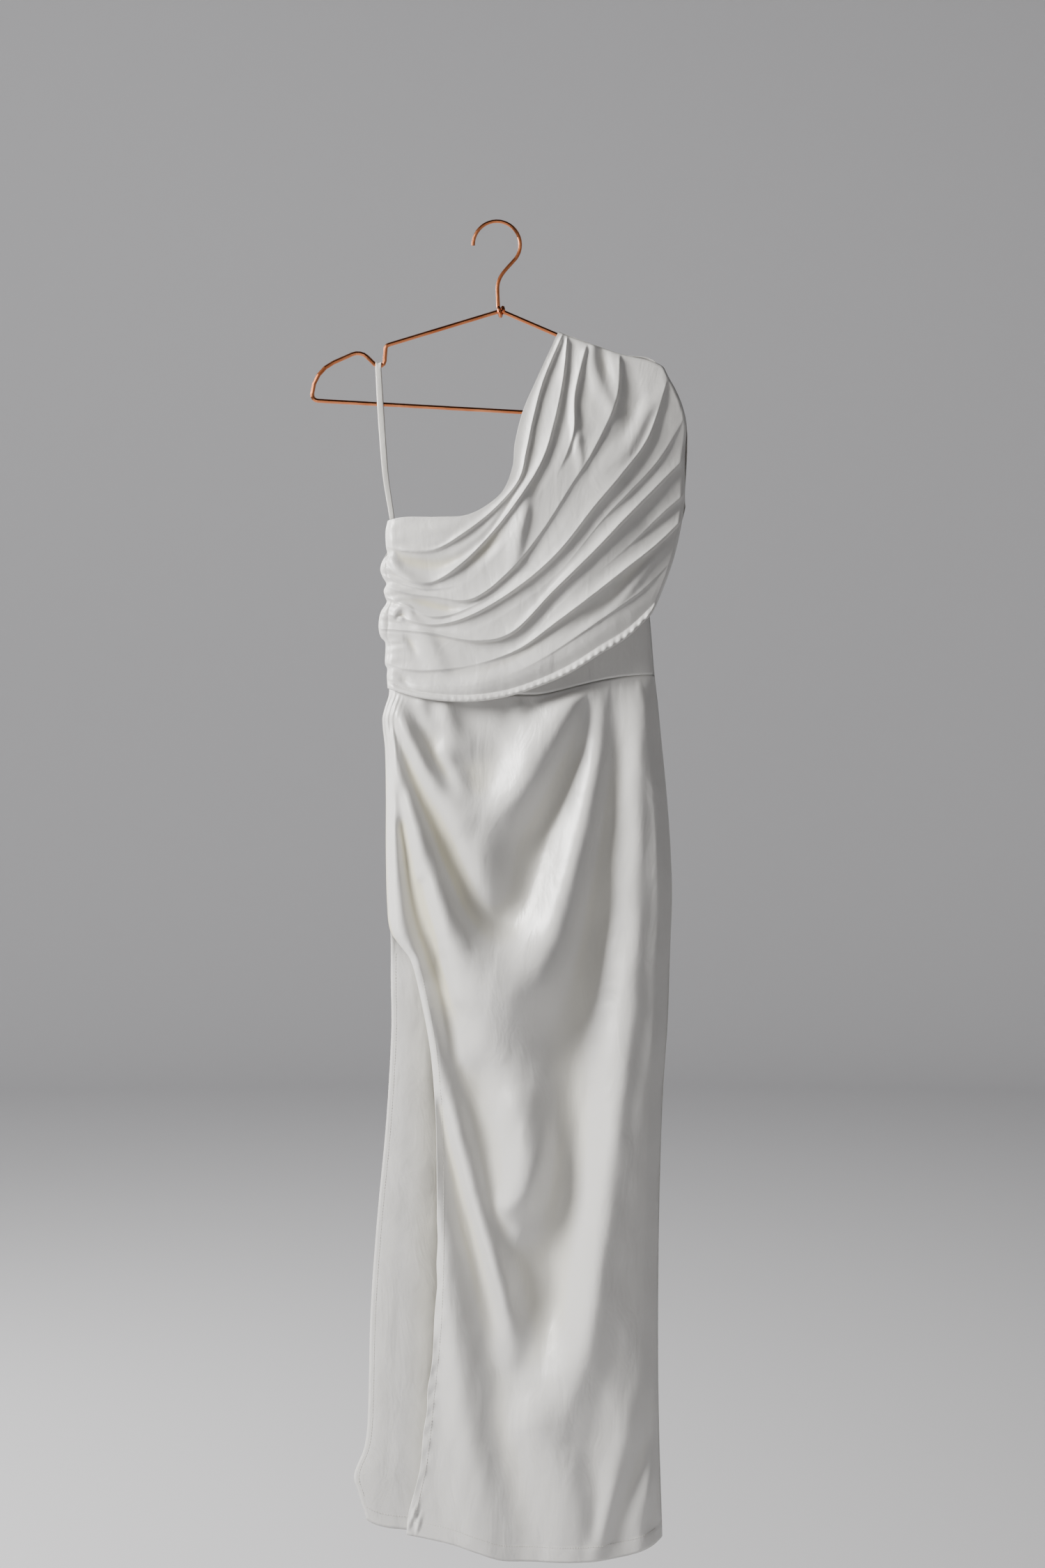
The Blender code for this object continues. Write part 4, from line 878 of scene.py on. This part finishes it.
def place_drape(side, columns, steps):
    names = [name for name in DRAPE_GUIDES if side == 1 or name not in BACK_SKIPS]
    stations = np.linspace(0, 1, 10)

    def place(i, j):
        u = i[0] / columns
        u = u if side == 2 else u[::-1]
        u = u - 0.5 * np.sin(2 * np.pi * u) / (2 * np.pi)
        tracks = []
        for name in names:
            points = DRAPE_GUIDES[name][2]
            if side == 2:
                dx, dz = BACK_SHIFTS.get(name, (0.0, 0.0))
                points = [(x + dx * (0 < n < 9), z + dz * (0 < n < 9)) for n, (x, z) in enumerate(points)]
            tracks.append(at_fraction(smooth_rows(points, GUIDE_STEPS), u))
        tracks = np.array(tracks)
        count = len(names)
        step = j[:, 0] / steps
        k = np.minimum(step.astype(int), count - 2)
        part = step - k
        part = 0.45 * part + 0.55 * (0.5 - 0.5 * np.cos(np.pi * part))
        p = part[:, None, None]
        before, here = tracks[np.maximum(k - 1, 0)], tracks[k]
        there, after = tracks[k + 1], tracks[np.minimum(k + 2, count - 1)]
        point = 0.5 * (2 * here + (there - before) * p + (2 * before - 5 * here + 4 * there - after) * p ** 2
                       + (3 * here - before - 3 * there + after) * p ** 3)
        x, z = point[..., 0], point[..., 1]
        pleats = 0
        for n, name in enumerate(names):
            heights, back_to, _ = DRAPE_GUIDES[name]
            if side == 2:
                heights, back_to = [BACK_PLEATS.get(name, 0)] * 10, names[max(n - 1, 0)]
            if back_to is None or not any(heights):
                continue
            back = tracks[names.index(back_to)] if back_to in names else tracks[n - 1]
            reach = np.clip(0.92 * np.hypot(*(tracks[n] - back).T), 5, 34)[None, :]
            offset = point - tracks[n][None]
            way = tracks[min(n + 1, count - 1)] - tracks[max(n - 1, 0)]
            way = way / (np.hypot(way[:, 0], way[:, 1])[:, None] + 1e-9)
            gap = offset[..., 0] * way[None, :, 0] + offset[..., 1] * way[None, :, 1]
            height = PLEAT_RISE * np.interp(u, stations, heights)[None, :]
            pleats = pleats + height * pleat_section(gap, reach)
        hang = ramp(-z, 135, 310)
        left = lookup(BODY_LEFT, z)
        t = np.clip((2 * x - left - ARM_FOLD_X) / (ARM_FOLD_X - left), -1, 1)
        body = (lookup(BODY_DEPTH, z, side) + FRONT_ROOM * (side == 1)) * (1 - np.abs(t) ** 1.9) ** 0.75
        low = ramp(step, 0.7 * (count - 1), count - 1.0)[:, None]
        base = OVER_SHOULDER + 1.5 * hang + body * hang + LOW_ROOM * low
        local = 0
        if side == 1:
            beside_arm = ramp(x, 30, 100) * ramp(-z, 320, 420)
            base = base + ARM_ROOM * beside_arm - ARM_TURN * ramp(x, 110, 225) * hang
            local = soften(folds(x, z, DRAPE_FOLDS), 3)
        seam_gap = x - lookup(RUCHED_EDGE, z)
        seam_side = ramp(-x, 60, 90)
        for centre, reach, half, height in RUCHES:
            bend = 0.20 * seam_gap * math.sin(centre * 1.3)
            puff = np.exp(-((z - centre - bend) / (half + 0.6)) ** 2) * np.exp(-((seam_gap - 7) / reach) ** 2)
            local = local + PUFF_RISE * height * puff * seam_side
        depth = base + pleats * ramp(u, 0.0, 0.03)[None, :] + local + 0.6 * unevenness(x, z, 2)
        ends = [np.hypot(x - x[:, n][:, None], z - z[:, n][:, None]) for n in (0, -1)]
        edge = np.minimum(*ends)
        seam_x = x[:, -1:] if side == 2 else x[:, :1]
        edge = np.minimum(edge / (3.5 + 5.5 * hang), 1.0)
        depth = depth * np.sqrt(np.maximum(1 - (1 - edge) ** 2, 0))
        x = x + (lookup(RUCHED_EDGE, z) - seam_x) * (1 - ramp(x - seam_x, 0, 22)) * seam_side
        hem_gap = (count - 1 - step)[:, None]
        roll = np.clip(1 - hem_gap / 0.9, 0, 1)
        twist = HEM_TWIST * np.sin(x / 1.3 + 1.6 * hem_gap) * ramp(x, -70, -50)
        groove = 1.2 * ramp(hem_gap, 1.6, 1.0) * (1 - ramp(hem_gap, 1.0, 0.4)) * (side == 1)
        depth = depth + (HEM_ROLL + twist) * np.sin(np.pi * roll) * (side == 1) - groove
        # Painted shade: a yellow tint in the hollows between pleats and folds, weaker towards the right
        around = soften(pleats + local, 120)
        hollow = ramp(around - pleats - local, 0.5, 4.0) * (1 - 0.75 * ramp(x, 10, 70))
        return x, (-1 if side == 1 else 1) * (SEAM / 2 + depth), z, hollow

    return place


BACK_GUIDES = len(DRAPE_GUIDES) - len(BACK_SKIPS)
for drape_name, side, columns, steps, guides, cut, under in (
        ("satin_drape_front", 1, 190, 15, len(DRAPE_GUIDES), (0.42, 0.45), "bodice_front"),
        ("satin_drape_back", 2, 110, 18, BACK_GUIDES, (0.40, 0.42), "bodice_back")):
    drape, _ = cloth(drape_name, columns, steps * (guides - 1), place_drape(side, columns, steps), satin)
    hang_for(drape, drape_name.replace("satin_", ""))


# Hanging loop. A narrow satin ribbon, sewn into the left side seam at the neckline and
# hooked over the notch of the hanger; its two strands close up below.
RIBBON = [(-135.8, -168, 3.3), (-134, -200, 3.6), (-131.5, -240, 3.6), (-127.5, -290, 3.4),
    (-121.5, -330, 3), (-119.5, -344, 2.4)]
NOTCH = (-135.6, -164.4)
HOLD = 2.4 + SEAM + 0.3
LIFT = 0.5  # between the wire and the ribbon
RIBBON_THICKNESS = 0.35
RIBBON_COLUMNS, RIBBON_TURN = 6, 12


def ribbon_rows():
    strand = smooth_rows(RIBBON, 16)
    depth = HOLD + LIFT + (1.1 - HOLD - LIFT) * ramp(-strand[:, 1], 236, 340)
    back = np.column_stack((strand[:, 0], depth, strand[:, 1], strand[:, 2]))[::-1]
    front = np.column_stack((strand[:, 0], -depth, strand[:, 1], strand[:, 2]))
    turn = np.pi * np.arange(1, RIBBON_TURN) / RIBBON_TURN
    top = np.column_stack((NOTCH[0] + 0 * turn, (HOLD + LIFT) * np.cos(turn),
                           NOTCH[1] + (HOLD + LIFT) * np.sin(turn), 3.2 + 0 * turn))
    return np.vstack((back, top, front)), (len(back), len(back) + len(top))


def place_ribbon(i, j):
    rows, (first, last) = ribbon_rows()
    row = rows[j.astype(int)]
    side = i / RIBBON_COLUMNS * 2 - 1
    over = (j >= first) & (j < last)
    lift = np.where(over, 1.4 * side * side, 0.0)
    curl = 0.25 * (1 - side * side) * np.sign(row[..., 1])
    # The ribbon takes an even 0.15 share of the painted yellow shade tint all over
    return row[..., 0] + side * row[..., 3], row[..., 1] + curl * (~over), row[..., 2] + lift, 0.15 + 0 * i


ribbon_count = len(ribbon_rows()[0]) - 1
ribbon, _ = cloth("satin_hanging_loop", RIBBON_COLUMNS, ribbon_count, place_ribbon, satin,
                  RIBBON_THICKNESS)
hang_for(ribbon, "hanger_loop")
